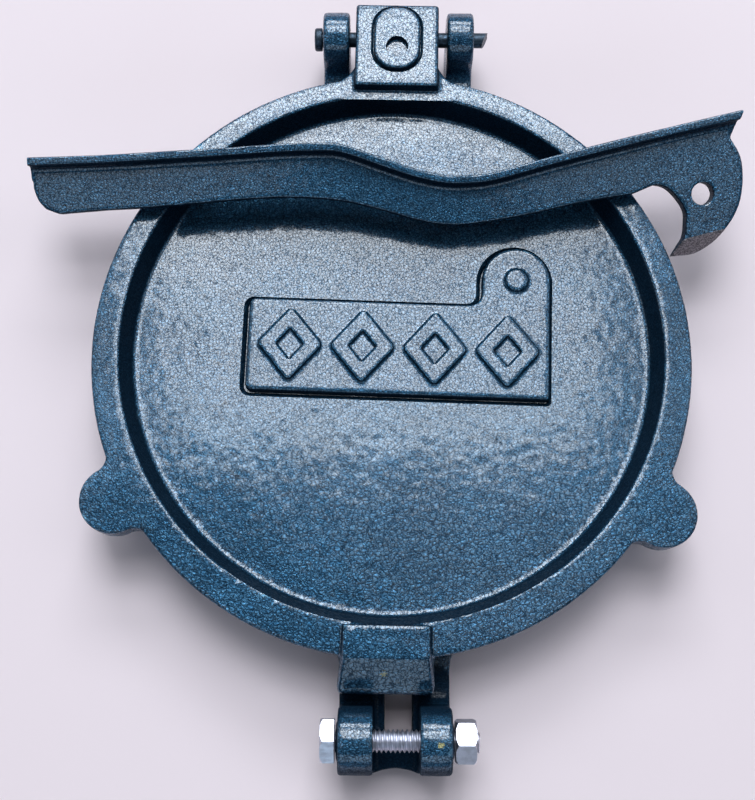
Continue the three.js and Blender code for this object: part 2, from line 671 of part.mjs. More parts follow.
function leverCurve(shares, steps) {
  return new THREE.SplineCurve(shares.map(leverPoint)).getPoints(steps);
}

function leverWeb() {
  const inset = FLANGE_THICKNESS / 2;
  const crown = leverCurve(CROWN_SHARES, LEVER.crownSteps);
  const end = crown.at(-1).x - 2 * inset;
  const points = crown.filter((p) => p.x < end).map((p) => new THREE.Vector2(p.x, p.y - inset));
  points[0].x = leverPoint(LEFT_END_SHARES.at(-1)).x;
  points.push(...leverCurve(HOOK_SHARES, 18));
  points.push(...leverCurve(BAY_SHARES, 16));
  points.push(...leverCurve(LOWER_SHARES, 32));
  points.push(...leverCurve(LEFT_END_SHARES, 6));
  const shape = new THREE.Shape(points.reverse());
  const eye = leverPoint(EYE_SHARES);
  const hole = new THREE.Path();
  hole.absarc(eye.x, eye.y, BOLT_RADIUS + EYE_CLEARANCE, 0, Math.PI * 2, true);
  shape.holes.push(hole);
  return solid(upright(shape, 0, WEB_THICKNESS, 14));
}

// The flange and its sloping fillets, swept along the crown
function leverFlange() {
  const curve = new THREE.SplineCurve(CROWN_SHARES.map(leverPoint));
  const foot = FLANGE_THICKNESS + LEVER.filletReach;
  const section = [
    [0, -FLANGE_STAND],
    [FLANGE_THICKNESS, -FLANGE_STAND],
    [foot, EMBED],
    [foot, WEB_THICKNESS - EMBED],
    [FLANGE_THICKNESS, WEB_THICKNESS + FLANGE_STAND],
    [0, WEB_THICKNESS + FLANGE_STAND],
  ];
  const positions = [];
  const steps = LEVER.crownSteps;
  for (let i = 0; i <= steps; i += 1) {
    const p = curve.getPoint(i / steps);
    const t = curve.getTangent(i / steps);
    const inward = i < steps ? [t.y, -t.x] : LEVER.endCutShares;
    for (const [s, w] of section) positions.push(p.x + inward[0] * s, p.y + inward[1] * s, w);
  }
  const n = section.length;
  const index = [];
  for (let i = 0; i < steps; i += 1) {
    for (let j = 0; j < n; j += 1) {
      const k = (j + 1) % n;
      index.push(i * n + j, (i + 1) * n + k, i * n + k, i * n + j, (i + 1) * n + j, (i + 1) * n + k);
    }
  }
  for (let j = 1; j < n - 1; j += 1) {
    index.push(0, j, j + 1, steps * n, steps * n + j + 1, steps * n + j);
  }
  const geometry = new THREE.BufferGeometry();
  geometry.setAttribute('position', new THREE.Float32BufferAttribute(positions, 3));
  geometry.setIndex(index);
  return solid(geometry);
}

function leverPiece() {
  const piece = named('lever', leverWeb().add(leverFlange()), hammertone);
  const tilt = Math.atan(FLANGE_STAND / (LEVER.restDepth - FLANGE_THICKNESS));
  piece.rotation.set(tilt, 0, LEVER.turnDeg * RAD, 'ZXY');
  piece.position.set(0, LEVER.restY, RIM_TOP + LEVER.restRise);
  return piece;
}

const press = new THREE.Group();
press.add(basePlate(), upperPlate(), hingePin(), leverPiece(), clevisBolt(), clevisNut());

export default press;
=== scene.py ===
"""A cast-iron roti press, built piece by piece around its measured frame.

The press is two hinged round castings in hammered blue paint, a loose pressing lever, a riveted hinge
pin and a zinc-plated pivot bolt with its nut. Every piece stands where the frame has it, in metres, with
Z up and Y towards the hinge. The panel in the 3D view's sidebar lists the operators: one for each piece or
pair of pieces, and one for the stage.
"""

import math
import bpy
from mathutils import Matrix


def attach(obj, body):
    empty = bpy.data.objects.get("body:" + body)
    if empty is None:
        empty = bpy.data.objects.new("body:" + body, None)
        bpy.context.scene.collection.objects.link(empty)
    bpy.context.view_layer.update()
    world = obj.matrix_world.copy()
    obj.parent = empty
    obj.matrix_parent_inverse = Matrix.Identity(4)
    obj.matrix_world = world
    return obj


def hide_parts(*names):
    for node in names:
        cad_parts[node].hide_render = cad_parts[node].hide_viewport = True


bl_info = {
    "name": "Cast-iron roti press",
    "version": (1, 0, 0),
    "blender": (4, 5, 0),
    "location": "3D View > Sidebar > Roti press",
    "description": "Builds a painted cast-iron roti press piece by piece around its measured frame",
    "category": "Object",
}

import bmesh
import bpy
from bpy.props import FloatProperty, FloatVectorProperty, IntProperty, PointerProperty
from bpy.types import Operator, Panel, PropertyGroup
from mathutils import Matrix, Vector

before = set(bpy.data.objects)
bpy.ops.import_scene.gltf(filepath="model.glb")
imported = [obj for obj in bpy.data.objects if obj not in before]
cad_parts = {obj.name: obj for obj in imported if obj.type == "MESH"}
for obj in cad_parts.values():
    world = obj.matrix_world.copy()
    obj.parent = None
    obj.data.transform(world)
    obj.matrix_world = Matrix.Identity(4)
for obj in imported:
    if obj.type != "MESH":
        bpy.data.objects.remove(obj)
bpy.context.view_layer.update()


def mm(value):
    """Millimetres as metres."""
    return value * 0.001


# Sizes and colours that a user would change

def length(name, value, description):
    """A length property, its default given in millimetres."""
    return FloatProperty(name=name, description=description, default=mm(value), min=0.0, precision=5,
                         unit="LENGTH", subtype="DISTANCE")


def angle(name, degrees, description):
    return FloatProperty(name=name, description=description, default=math.radians(degrees),
                         unit="ROTATION", subtype="ANGLE")


def factor(name, value, description):
    return FloatProperty(name=name, description=description, default=value, min=0.0, max=1.0,
                         subtype="FACTOR")


def paint(name, value, description):
    """A colour property in linear light."""
    return FloatVectorProperty(name=name, description=description, default=value, size=3, min=0.0,
                               max=1.0, subtype="COLOR")


class PressPlateSizes(PropertyGroup):
    radius: length("Radius", 87.8, "Outside radius of the upper plate")
    thickness: length("Thickness", 11.6, "Upper plate from its pressing face to the rim's top")
    rim_width: length("Rim width", 8.1, "Flat top of the rim")
    pan_wall: length("Pan wall", 2.8, "Plan width of the steep wall down to the pan")
    pan_depth: length("Pan depth", 7.8, "Rim's top down to the pan")
    pan_shift: length("Pan shift", 1.7, "How far the pan is cast towards the hinge")
    base_setback: length("Base setback", 2.2, "How much smaller the base disc is in radius")
    base_thickness: length("Base thickness", 12.0, "Base disc from the floor to its pressing face")
    closed_gap: length("Closed gap", 0.4, "Between the two pressing faces")
    edge_round: length("Edge rounding", 0.7, "Cast rounding of both discs")
    tab_radius: length("Tab radius", 9.8, "Round end of each finger tab")
    tab_reach: length("Tab reach", 2.6, "Centre of a tab's round end beyond the plate's edge")


class PressHingeSizes(PropertyGroup):
    reach: length("Hinge reach", 15.1, "Hinge pin behind the upper plate's edge")
    drop: length("Hinge drop", 6.0, "Hinge pin below the rim's top")
    pin_radius: length("Pin radius", 2.3, "Radius of the hinge pin")
    gap: length("Rear gap", 30.0, "Between the rear ears")
    ear: length("Rear ear thickness", 8.4, "Thickness of each rear ear")
    ear_radius: length("Rear ear radius", 8.3, "Round of each rear ear about the pin")
    side_play: length("Side play", 2.2, "Upper plate's lug to the ear on each side")
    bolt_reach: length("Bolt reach", 21.6, "Pivot bolt in front of the upper plate's edge")
    bolt_drop: length("Bolt drop", 2.0, "Pivot bolt below the rim's top")
    front_gap: length("Front gap", 12.8, "Between the front ears")
    front_ear: length("Front ear thickness", 9.4, "Mean thickness of the front ears")
    front_ear_extra: length("Front ear extra", 0.4,
                            "How much thicker the left ear is, and the right ear thinner")
    front_ear_radius: length("Front ear radius", 9.3, "Round of each front ear about the bolt")


class PressLeverSizes(PropertyGroup):
    length: length("Length", 207.0, "Lever from end to end")
    depth: length("Depth", 16.0, "Web and flange together, measured along the web")
    web: length("Web thickness", 5.5, "Thickness of the web")
    flange: length("Flange thickness", 2.65, "Thickness of the flange")
    stand: length("Flange stand", 3.8, "How far the flange stands out from each face of the web")
    turn: angle("Turn", 2.2, "How far the lever lies turned across the plate")


class PressBoltSizes(PropertyGroup):
    radius: length("Bolt radius", 3.175, "Outside radius of the thread")
    pitch: length("Thread pitch", 1.27, "One turn of the thread")
    thread_depth: length("Thread depth", 0.72, "Crest to root")
    head_flats: length("Head across flats", 11.6, "Bolt head across flats")
    head_thickness: length("Head thickness", 3.9, "Thickness of the bolt head")
    nut_flats: length("Nut across flats", 11.1, "Nut across flats")
    nut_thickness: length("Nut thickness", 5.7, "Thickness of the nut")


class PressFinish(PropertyGroup):
    cell: paint("Paint cells", (0.040, 0.170, 0.320), "Raised cells of the hammered paint")
    # The vein colour also serves as painted shade, and the glint colour as a painted highlight on rounded
    # edges
    vein: paint("Paint veins", (0.002, 0.017, 0.040), "Thin dark lines between the cells")
    glint: paint("Paint glint", (0.140, 0.320, 0.470), "Lightest flakes in the paint")
    chip: paint("Chips", (0.420, 0.400, 0.200), "Small primer chips")
    zinc: paint("Zinc", (0.740, 0.750, 0.840), "Zinc plating of the bolt and nut")
    steel: paint("Dark steel", (0.030, 0.050, 0.075), "Painted steel of the hinge pin")
    floor: paint("Floor", (0.950, 0.815, 0.845), "Pale floor")
    cell_size: length("Cell size", 0.92, "Size of the hammered cells")
    bump: length("Paint relief", 0.20, "Height of the hammered cells")
    gloss: factor("Paint roughness", 0.36, "Roughness of the painted castings")


class PressSettings(PropertyGroup):
    plate: PointerProperty(type=PressPlateSizes)
    hinge: PointerProperty(type=PressHingeSizes)
    lever: PointerProperty(type=PressLeverSizes)
    bolt: PointerProperty(type=PressBoltSizes)
    finish: PointerProperty(type=PressFinish)
    triangles: IntProperty(name="Triangles", description="Most triangles in one casting", default=185000,
                           min=1000)


# Smaller sizes of the castings

BASE_POCKETS = 6
BASE_POCKET_DEPTH = mm(3.0)
BASE_PAD_RADIUS = mm(20.0)
BASE_POCKET_SKIRT = mm(12.0)
BASE_RIB_WIDTH = mm(8.0)
POCKET_SIDE_STEPS = 16
ARM_OVERLAP = mm(14.0)
ARM_ROUND = mm(1.0)
TONGUE_OVERLAP = mm(10.0)
TONGUE_FLARE = mm(5.0)
TONGUE_FLARE_LENGTH = mm(13.0)
TONGUE_DROP = mm(1.0)
TONGUE_FRONT_ROUND = mm(3.0)
TONGUE_NOSE_ROUND = mm(4.2)
TONGUE_NOSE_BAND = mm(2.4)
TONGUE_FRONT_HOLLOW = mm(1.4)
TONGUE_REACH = mm(9.6)
SLOT_WIDTH = mm(7.8)
SLOT_LENGTH = mm(20.1)
SLOT_SHIFT = mm(0.8)
SLOT_REACH = mm(3.2)
RAMP_LENGTH = mm(5.0)
RAMP_RISE = mm(3.4)
EAR_OUTER_ROUND = mm(0.8)
EAR_INNER_ROUND = mm(0.4)
BOSS_WIDTH = mm(1.8)
BOSS_HEIGHT = mm(0.5)
PIN_CLEARANCE = mm(0.35)
SEAT_GAP = mm(0.3)
CUT_PAST = mm(2.0)

PAN_FILLET = mm(0.8)
RIM_EDGE_ROUND = mm(0.6)
TAB_RIGHT = math.radians(30.2)
TAB_LEFT = math.radians(29.5)
TAB_THICKNESS = mm(8.0)
TAB_FILLET = mm(6.0)
TAB_ROUND = mm(1.0)
BACK_LUG_STEP = mm(1.5)
BACK_LUG_TAIL = mm(7.3)
BACK_LUG_RISE = mm(3.5)
BACK_LUG_ROUND = mm(1.4)
BACK_LUG_FRONT_ROUND = mm(1.0)
BACK_LUG_SIDE_ROUND = mm(2.0)
BARREL_WALL = mm(5.0)
FLARE_WIDTH = mm(13.4)
FLARE_REACH = mm(5.5)
FLARE_ROUND = mm(1.0)
FRONT_LUG_WIDTH = mm(26.8)
FRONT_LUG_TOP_WIDTH = mm(24.2)
FRONT_LUG_FLAT = mm(8.9)
FRONT_LUG_SLOPE = mm(8.4)
FRONT_LUG_RISE = mm(4.5)
FRONT_LUG_LIP = mm(1.0)
FRONT_LUG_ROUND = mm(1.5)
FRONT_LUG_SIDE_ROUND = mm(1.3)
FRONT_LUG_CREASE_ROUND = mm(1.2)
PLATE_YAW = math.radians(-0.75)
PLATE_SHIFT = mm(-0.4)

PLAQUE_WIDTH = mm(90.4)
PLAQUE_HEIGHT = mm(28.5)
PLAQUE_ROUND = mm(2.0)
PLAQUE_X = mm(2.1)
PLAQUE_Y = mm(3.3)
PLAQUE_TURN = math.radians(-1.0)
PLAQUE_RELIEF = mm(1.3)
PLAQUE_EDGE_ROUND = mm(1.2)
PLAQUE_GROOVE = mm(1.1)
PLAQUE_GROOVE_DEPTH = mm(1.5)
PLAQUE_GROOVE_SLOPE = mm(1.3)
CREST_WIDTH = mm(20.8)
CREST_RISE = mm(18.4)
CREST_FILLET = mm(4.5)
CREST_DISC = mm(3.6)
RELIEF = mm(1.1)
RELIEF_ROUND = mm(0.9)
RELIEF_ROOT = mm(0.5)
LOZENGES = 4
LOZENGE_PITCH = mm(21.6)
LOZENGE_WIDTH = mm(19.4)
LOZENGE_HEIGHT = mm(22.6)
LOZENGE_BAND = mm(4.2)
LOZENGE_FLOOR = mm(0.1)
LOZENGE_CORNER_ROUND = mm(1.4)
LOZENGE_EDGE_ROUND = mm(0.8)
LINK_WIDTH = mm(14.4)
LINK_HEIGHT = mm(20.6)
LINK_Y = mm(98.4)
LINK_GROOVE = mm(0.8)
LINK_GROOVE_DEPTH = mm(0.9)
LINK_HOLE_RADIUS = mm(3.2)
LINK_HOLE_DEPTH = mm(1.2)
LINK_HOLE_Y = mm(95.4)
ORNAMENT_ROOT = mm(0.7)
LINK_ROOT = mm(0.9)

PIN_HEAD_RADIUS = mm(3.55)
PIN_HEAD_THICKNESS = mm(2.4)
PIN_HEAD_ROUND = mm(0.75)
PIN_HEAD_SEAT_ROUND = mm(0.35)
PIN_TAIL = mm(4.6)
PIN_TAIL_SLANT = (1.0, -0.42, 0.1)
PIN_TAIL_CUT = mm(0.9)
BOLT_PAST_NUT = mm(0.9)
THREAD_FLANKS = (0.07, 0.46, 0.54, 0.93)
THREAD_STEPS = 40
BLANK_OVER = 1.002
CHAMFER_START = 0.985
CHAMFER_WIDTH = 1.1
HEAD_TURN = 90
NUT_TURN = 38

LEVER_FILLET = mm(3.9)
WEB_ROUND = mm(1.7)
GRIND_TILT = math.radians(42)
GRINDER_WIDTH = mm(40.0)
GRINDER_DEPTH = mm(12.0)
LEVER_REST_DEPTH = mm(13.5)
LEVER_REST_Y = mm(46.7)
LEVER_REST_RISE = mm(0.45)
LEVER_EYE_CLEARANCE = mm(0.08)
LEVER_END_CUT = (-0.355, -0.935)
CROWN_STEPS = 60

# Grains of the remeshed skins, and how uneven they are

BASE_GRAIN = mm(0.55)
UPPER_GRAIN = mm(0.42)
LEVER_GRAIN = mm(0.40)
ORNAMENT_GRAIN = mm(0.34)
WAVE_SIZE = mm(11.0)
SAND_SIZE = mm(1.9)
CAST_UNEVENNESS = mm(0.10)
CAST_SAND = mm(0.10)
LEVER_UNEVENNESS = mm(0.08)
LEVER_SAND = mm(0.04)
ORNAMENT_UNEVENNESS = mm(0.05)
ORNAMENT_SAND = mm(0.08)
UPPER_SHARE = 0.7
PLAQUE_SHARE = 0.24
LINK_SHARE = 0.06
CAST_CREASE = math.radians(38)
PIN_CREASE = math.radians(35)
BOLT_CREASE = math.radians(28)
NUT_CREASE = math.radians(20)

# Outlines of the lever, as shares of its length and of its depth
CROWN_SHARES = (
    (-0.52, 0.98), (-0.413, 0.987), (-0.317, 1.022), (-0.25, 1.045), (-0.182, 1.081), (-0.125, 1.09),
    (-0.079, 1.05), (-0.024, 0.8), (0.025, 0.57), (0.068, 0.437), (0.105, 0.425), (0.143, 0.487),
    (0.218, 0.722), (0.329, 1.035), (0.404, 1.235), (0.489, 1.455),
)
LOWER_SHARES = (
    (0.335, -0.006), (0.259, -0.137), (0.182, -0.331), (0.106, -0.462), (0.069, -0.469), (0.03, -0.38),
    (-0.026, -0.156), (-0.083, 0.031), (-0.153, 0.119), (-0.223, 0.106), (-0.291, 0.056), (-0.368, 0.006),
    (-0.423, -0.012), (-0.484, -0.055),
)
LEFT_END_SHARES = ((-0.502, 0.038), (-0.51, 0.156), (-0.515, 0.288), (-0.518, 0.431))
HOOK_SHARES = (
    (0.475, 0.956), (0.489, 0.644), (0.493, 0.256), (0.49, -0.144), (0.481, -0.45), (0.467, -0.712),
    (0.452, -0.944), (0.428, -1.137), (0.403, -1.169),
)
BAY_SHARES = (
    (0.391, -1.181), (0.403, -0.944), (0.409, -0.806), (0.411, -0.569), (0.41, -0.331), (0.397, -0.069),
    (0.382, 0.1), (0.366, 0.15),
)
EYE_SHARES = (0.435, -0.032)
HOOK_GRIND_SHARES = ((0.409, -0.881), (0.467, -0.712))

# Smaller values of the finishes

SWIRLS_PER_CELL = 1.1
SWIRL_REACH = 1.3
VEIN_WIDTH = 0.17
DOME_WIDTH = 0.42
DOME_RELIEF = 0.6
GRAIN_RELIEF = 0.4
GRAINS_PER_METRE = 1900.0
GRAIN_BAND = (0.32, 0.68)
STEEL_CELLS_PER_METRE = 1400.0
PATCHES_PER_METRE = 60.0
LUMPS_PER_METRE = 260.0
PITS_PER_METRE = 150.0
PATCH_BAND = (0.35, 0.65)
PIT_BAND = (0.03, 0.10)

POOLED_CELLS = 1.35
LEVER_CELLS = 0.95
GLINT_IN_CELLS = 0.3
DARK_IN_GRAIN = 0.5
DARK_IN_PATCHES = 0.25
CELL_IN_VEINS = 0.15
# Each of the next three holds the two ends of a mask and its strength at both
# Painted highlight on convex edges, from pointiness: the two ends and the strength at both
PAINTED_EDGE_HIGHLIGHT = (0.52, 0.60, 0.0, 0.8)
# Painted shade in concave recesses, from pointiness: the two ends and the strength at both
PAINTED_RECESS_SHADE = (0.49, 0.44, 0.0, 0.85)
# Painted shade on steep faces, from their normal's Z: the two ends and the strength at both
SHADED_STEEPS = (0.84, 0.50, 0.0, 0.85)

# Painted shade: its strength below the two levels, its share out in the open, and the roughness it adds
SHADE_BELOW = 0.9
SHADE_IN_THE_OPEN = 0.25
SHADE_ROUGHNESS = 0.4
VEIN_ROUGHNESS = 0.1
COAT_IN_VEINS = 0.15
COAT_IN_GRAIN = 0.75
COAT_ROUGHNESS = 0.12
COAT_IOR = 1.9
PAINT_METALLIC = 0.9
LUMP_DEPTH = 2.5
PIT_STRENGTH = 0.6
IRON_DARK = (0.12, 0.11, 0.12)
IRON_LIGHT = (0.40, 0.36, 0.38)
IRON_ROUGHNESS = 0.6
GRIND_REACH = (mm(0.45), mm(0.25))
# Two levels on the base below which shade is painted, in the hollow between the front ears
SHADE_LEVELS = (mm(14.0), mm(11.6))
POOLED_SPAN = (mm(5.0), mm(-50.0))
# Radii of the circles where the painted shade is full, and how far it fades at their edge
LUG_SHADE_RADIUS = mm(24.0)
LEVER_SHADE_RADIUS = mm(150.0)
RIM_OPEN_EDGE = mm(2.3)
SHADE_FADE = mm(1.0)

STREAK_STRETCH = (0.15, 1.0, 1.0)
STREAKS_PER_METRE = 2200.0
MOTTLES_PER_METRE = 500.0
DULL_ZINC = 0.55
SCRATCH_DEPTH = mm(0.02)
WEAR_PER_METRE = 700.0
BARE_STEEL = 4.0
STEEL_RELIEF = mm(0.03)
FLOOR_CLOUDS_PER_METRE = 9.0
FLOOR_DIM = 0.96
FLOOR_ROUGHNESS = 0.7


class Sizes:
    """The driving sizes of the scene and the levels and places worked out from them."""

    def __init__(self, context):
        settings = context.scene.roti_press
        self.plate = settings.plate
        self.hinge = settings.hinge
        self.lever = settings.lever
        self.bolt = settings.bolt
        self.finish = settings.finish
        self.triangles = settings.triangles
        plate, hinge = self.plate, self.hinge
        self.rim_inner = plate.radius - plate.rim_width
        self.pan_radius = self.rim_inner - plate.pan_wall
        self.base_radius = plate.radius - plate.base_setback
        self.plate_bottom = plate.base_thickness + plate.closed_gap
        self.rim_top = self.plate_bottom + plate.thickness
        self.pan_top = self.rim_top - plate.pan_depth
        self.hinge_y = plate.radius + hinge.reach
        self.hinge_z = self.rim_top - hinge.drop
        self.hinge_outer = hinge.gap / 2 + hinge.ear
        self.bolt_y = -(plate.radius + hinge.bolt_reach)
        self.bolt_z = self.rim_top - hinge.bolt_drop
        self.clevis_left = -(hinge.front_gap / 2 + hinge.front_ear + hinge.front_ear_extra)
        self.clevis_right = hinge.front_gap / 2 + hinge.front_ear - hinge.front_ear_extra
        self.head_seat = self.clevis_left - BOSS_HEIGHT - SEAT_GAP
        self.nut_seat = self.clevis_right + BOSS_HEIGHT + SEAT_GAP
        self.tongue_top = plate.base_thickness - TONGUE_DROP
        self.bore = hinge.pin_radius + PIN_CLEARANCE
        self.bolt_bore = self.bolt.radius + PIN_CLEARANCE


# Modelling helpers

def select_only(*objects):
    bpy.ops.object.select_all(action="DESELECT")
    for item in objects:
        item.select_set(True)
    bpy.context.view_layer.objects.active = objects[0]


def edit(body):
    select_only(body)
    bpy.ops.object.mode_set(mode="EDIT")


def leave():
    bpy.ops.object.mode_set(mode="OBJECT")


def choose(body, kind, test):
    """Selects the faces, edges or points of the mesh being edited whose corner points pass a test."""
    bpy.ops.mesh.select_mode(type=kind)
    bpy.ops.mesh.select_all(action="DESELECT")
    work = bmesh.from_edit_mesh(body.data)
    items = {"FACE": work.faces, "EDGE": work.edges, "VERT": work.verts}[kind]
    for item in items:
        corners = [item.co] if kind == "VERT" else [v.co for v in item.verts]
        if test(corners):
            item.select_set(True)
    work.select_flush_mode()
    bmesh.update_edit_mesh(body.data)


def level(corners, axis, value, tolerance=1e-5):
    """Whether every corner lies at the same place along an axis."""
    return all(abs(c[axis] - value) < tolerance for c in corners)


def tidy_normals():
    bpy.ops.mesh.select_all(action="SELECT")
    bpy.ops.mesh.normals_make_consistent(inside=False)


def arc(y, z, radius, start, end, steps):
    """Points on an arc, its angles in degrees."""
    turns = [math.radians(start + (end - start) * i / steps) for i in range(steps + 1)]
    return [(y + radius * math.cos(a), z + radius * math.sin(a)) for a in turns]


def bow(start, control, end, steps):
    """Points on a curve that leaves start towards control and arrives at end from it."""
    points = []
    for i in range(steps + 1):
        t = i / steps
        points.append(tuple((1 - t) ** 2 * s + 2 * t * (1 - t) * c + t * t * e
                            for s, c, e in zip(start, control, end)))
    return points


def smooth_line(points, steps):
    """A smooth curve through the points, cut into even steps of its parameter, with its directions."""
    places, directions = [], []
    last = len(points) - 1
    for i in range(steps + 1):
        at = min(i / steps * last, last - 1e-9)
        k = int(at)
        t = at - k
        p1, p2 = Vector(points[k]), Vector(points[k + 1])
        p0 = Vector(points[k - 1]) if k > 0 else p1
        p3 = Vector(points[k + 2]) if k + 2 <= last else p2
        v0, v1 = (p2 - p0) * 0.5, (p3 - p1) * 0.5
        places.append((2 * p1 - 2 * p2 + v0 + v1) * t ** 3 + (-3 * p1 + 3 * p2 - 2 * v0 - v1) * t * t
                      + v0 * t + p1)
        slope = (2 * p1 - 2 * p2 + v0 + v1) * 3 * t * t + (-3 * p1 + 3 * p2 - 2 * v0 - v1) * 2 * t + v0
        directions.append(slope.normalized())
    return places, directions


def rounded_rectangle(width, height, radius, steps=6, x=0.0, y=0.0):
    points = []
    for sx, sy, start in ((1, -1, -90), (1, 1, 0), (-1, 1, 90), (-1, -1, 180)):
        points += arc(x + sx * (width / 2 - radius), y + sy * (height / 2 - radius), radius,
                      start, start + 90, steps)
    return points


def without_doubles(points, apart=mm(0.02)):
    kept = []
    for p in points:
        if not kept or math.dist(p, kept[-1]) > apart:
            kept.append(p)
    if math.dist(kept[0], kept[-1]) < apart:
        kept.pop()
    return kept


def prism(name, outline, low, high, along="Z"):
    """An outline laid out from a filled circle and extruded along Z, or along X from Y and Z."""
    outline = without_doubles(outline)
    bpy.ops.object.select_all(action="DESELECT")
    bpy.ops.mesh.primitive_circle_add(vertices=len(outline), radius=mm(1), fill_type="NGON")
    body = bpy.context.object
    body.name = name

    def lay(a, b, height):
        return (a, b, height) if along == "Z" else (height, a, b)

    for vertex, (a, b) in zip(body.data.vertices, outline):
        vertex.co = lay(a, b, low)
    edit(body)
    bpy.ops.mesh.select_all(action="SELECT")
    bpy.ops.mesh.extrude_region_move(TRANSFORM_OT_translate={"value": lay(0, 0, high - low)})
    tidy_normals()
    leave()
    return body


def soften(body, radius, test, segments=3):
    """Rounds the edges whose two ends pass a test."""
    edit(body)
    choose(body, "EDGE", test)
    bpy.ops.mesh.bevel(offset=radius, segments=segments, affect="EDGES", clamp_overlap=True)
    leave()


def rim_edges(axis, *levels):
    """A test for the edges that lie in one of some levels along an axis."""
    return lambda corners: any(level(corners, axis, value) for value in levels)


def rod(name, radius, low, high, y, z, sides=48):
    """A round bar along X."""
    bpy.ops.object.select_all(action="DESELECT")
    bpy.ops.mesh.primitive_cylinder_add(vertices=sides, radius=radius, depth=high - low,
                                        location=((low + high) / 2, y, z), rotation=(0, math.pi / 2, 0))
    body = bpy.context.object
    body.name = name
    bpy.ops.object.transform_apply(location=True, rotation=True, scale=True)
    return body


def disc(name, radius, low, high, sides=192, edge_round=0.0):
    """A flat round casting with its top and bottom edges rounded."""
    bpy.ops.object.select_all(action="DESELECT")
    bpy.ops.mesh.primitive_cylinder_add(vertices=sides, radius=radius, depth=high - low,
                                        location=(0, 0, (low + high) / 2))
    body = bpy.context.object
    body.name = name
    bpy.ops.object.transform_apply(location=True, rotation=True, scale=True)
    if edge_round:
        soften(body, edge_round, rim_edges(2, low, high), 4)
    return body


def apply_modifier(body, kind, **settings):
    """Adds a modifier with its settings and applies it."""
    select_only(body)
    bpy.ops.object.modifier_add(type=kind)
    modifier = body.modifiers[-1]
    for name, value in settings.items():
        setattr(modifier, name, value)
    bpy.ops.object.modifier_apply(modifier=modifier.name)


def carve(body, tool, operation="DIFFERENCE", keep=False, solver="EXACT"):
    """Cuts a tool out of a body, or keeps what they share, and puts the tool away."""
    apply_modifier(body, "BOOLEAN", operation=operation, object=tool, solver=solver)
    if not keep:
        bpy.data.objects.remove(tool, do_unlink=True)
    return body


def join(name, parts):
    select_only(*parts)
    bpy.ops.object.join()
    body = bpy.context.object
    body.name = name
    body.data.name = name
    return body


def waves(name, grain):
    """A cloudy texture for the unevenness of a sand casting."""
    texture = bpy.data.textures.new(name, "CLOUDS")
    texture.noise_scale = grain
    texture.noise_depth = 2
    return texture


def skin(body, grain, softening, unevenness, sand, triangles):
    """Remeshes a solid evenly and gives it a sand casting's soft corners and slightly uneven skin."""
    apply_modifier(body, "REMESH", mode="VOXEL", voxel_size=grain, adaptivity=0.0)
    apply_modifier(body, "SMOOTH", factor=0.5, iterations=softening)
    apply_modifier(body, "DISPLACE", texture=waves(body.name + " waves", WAVE_SIZE), strength=unevenness,
                   mid_level=1.0, texture_coords="LOCAL")
    apply_modifier(body, "DISPLACE", texture=waves(body.name + " sand", SAND_SIZE), strength=sand,
                   mid_level=1.0, texture_coords="LOCAL")
    faces = len(body.data.polygons) * 2
    if faces > triangles:
        apply_modifier(body, "DECIMATE", ratio=triangles / faces)
    return body


def shade(body, name, crease):
    """Names a finished body and shades it smooth but for the edges sharper than the crease."""
    body.name = name
    select_only(body)
    bpy.ops.object.shade_smooth_by_angle(angle=crease)
    return body


def cast(name, parts, grain, triangles, softening=2, unevenness=CAST_UNEVENNESS, sand=CAST_SAND,
         ornament=()):
    """Fuses overlapping solids into one casting, then cuts or adds ornament that has its own finer skin."""
    body = skin(join(name, parts), grain, softening, unevenness, sand, triangles)
    for form, operation in ornament:
        carve(body, form, operation, solver="MANIFOLD")
    return shade(body, name, CAST_CREASE)


def settle(body, matrix):
    """Moves a body and keeps its place in its mesh."""
    body.matrix_world = matrix
    select_only(body)
    bpy.ops.object.transform_apply(location=True, rotation=True, scale=True)


def dress(body, material, rides_on, replaced):
    """Gives a finished piece its material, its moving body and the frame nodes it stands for."""
    body.data.materials.clear()
    body.data.materials.append(material)
    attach(body, rides_on)
    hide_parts(replaced)
    return body


# Material helpers

def feed(tree, socket, value):
    """Links a socket to another node's output, or gives it a value."""
    if isinstance(value, bpy.types.NodeSocket):
        tree.links.new(value, socket)
    else:
        socket.default_value = value


def put(tree, kind, inputs=None, **settings):
    """A node with its settings, and its inputs set to values or linked to other nodes' outputs."""
    node = tree.nodes.new(kind)
    for name, value in settings.items():
        setattr(node, name, value)
    for key, value in (inputs or {}).items():
        feed(tree, node.inputs[key], value)
    return node


def math_node(tree, operation, first, second=0.0):
    return put(tree, "ShaderNodeMath", {0: first, 1: second}, operation=operation).outputs[0]


def vector_node(tree, operation, first, second):
    """A sum with two vectors, whose answer is a number for a distance or a dot product."""
    node = put(tree, "ShaderNodeVectorMath", {0: first, 1: second}, operation=operation)
    return node.outputs["Value" if operation in ("DISTANCE", "DOT_PRODUCT") else "Vector"]


def coordinate(tree, vector, axis):
    return put(tree, "ShaderNodeSeparateXYZ", {0: vector}).outputs[axis]


def blend_colour(tree, share, first, second):
    return put(tree, "ShaderNodeMix", {0: share, 6: first, 7: second}, data_type="RGBA").outputs[2]


def blend_value(tree, share, first, second):
    return put(tree, "ShaderNodeMix", {0: share, 2: first, 3: second}, data_type="FLOAT").outputs[0]


def remap(tree, value, low, high, at_low=0.0, at_high=1.0, how="SMOOTHSTEP"):
    """A value eased from one range into another."""
    return put(tree, "ShaderNodeMapRange", {0: value, 1: low, 2: high, 3: at_low, 4: at_high},
               interpolation_type=how).outputs[0]


def spread(tree, share, at_zero, at_one):
    """A share from 0 to 1 turned evenly into a value between two others."""
    return remap(tree, share, 0.0, 1.0, at_zero, at_one, "LINEAR")


def rgba(colour):
    return (*colour, 1.0)


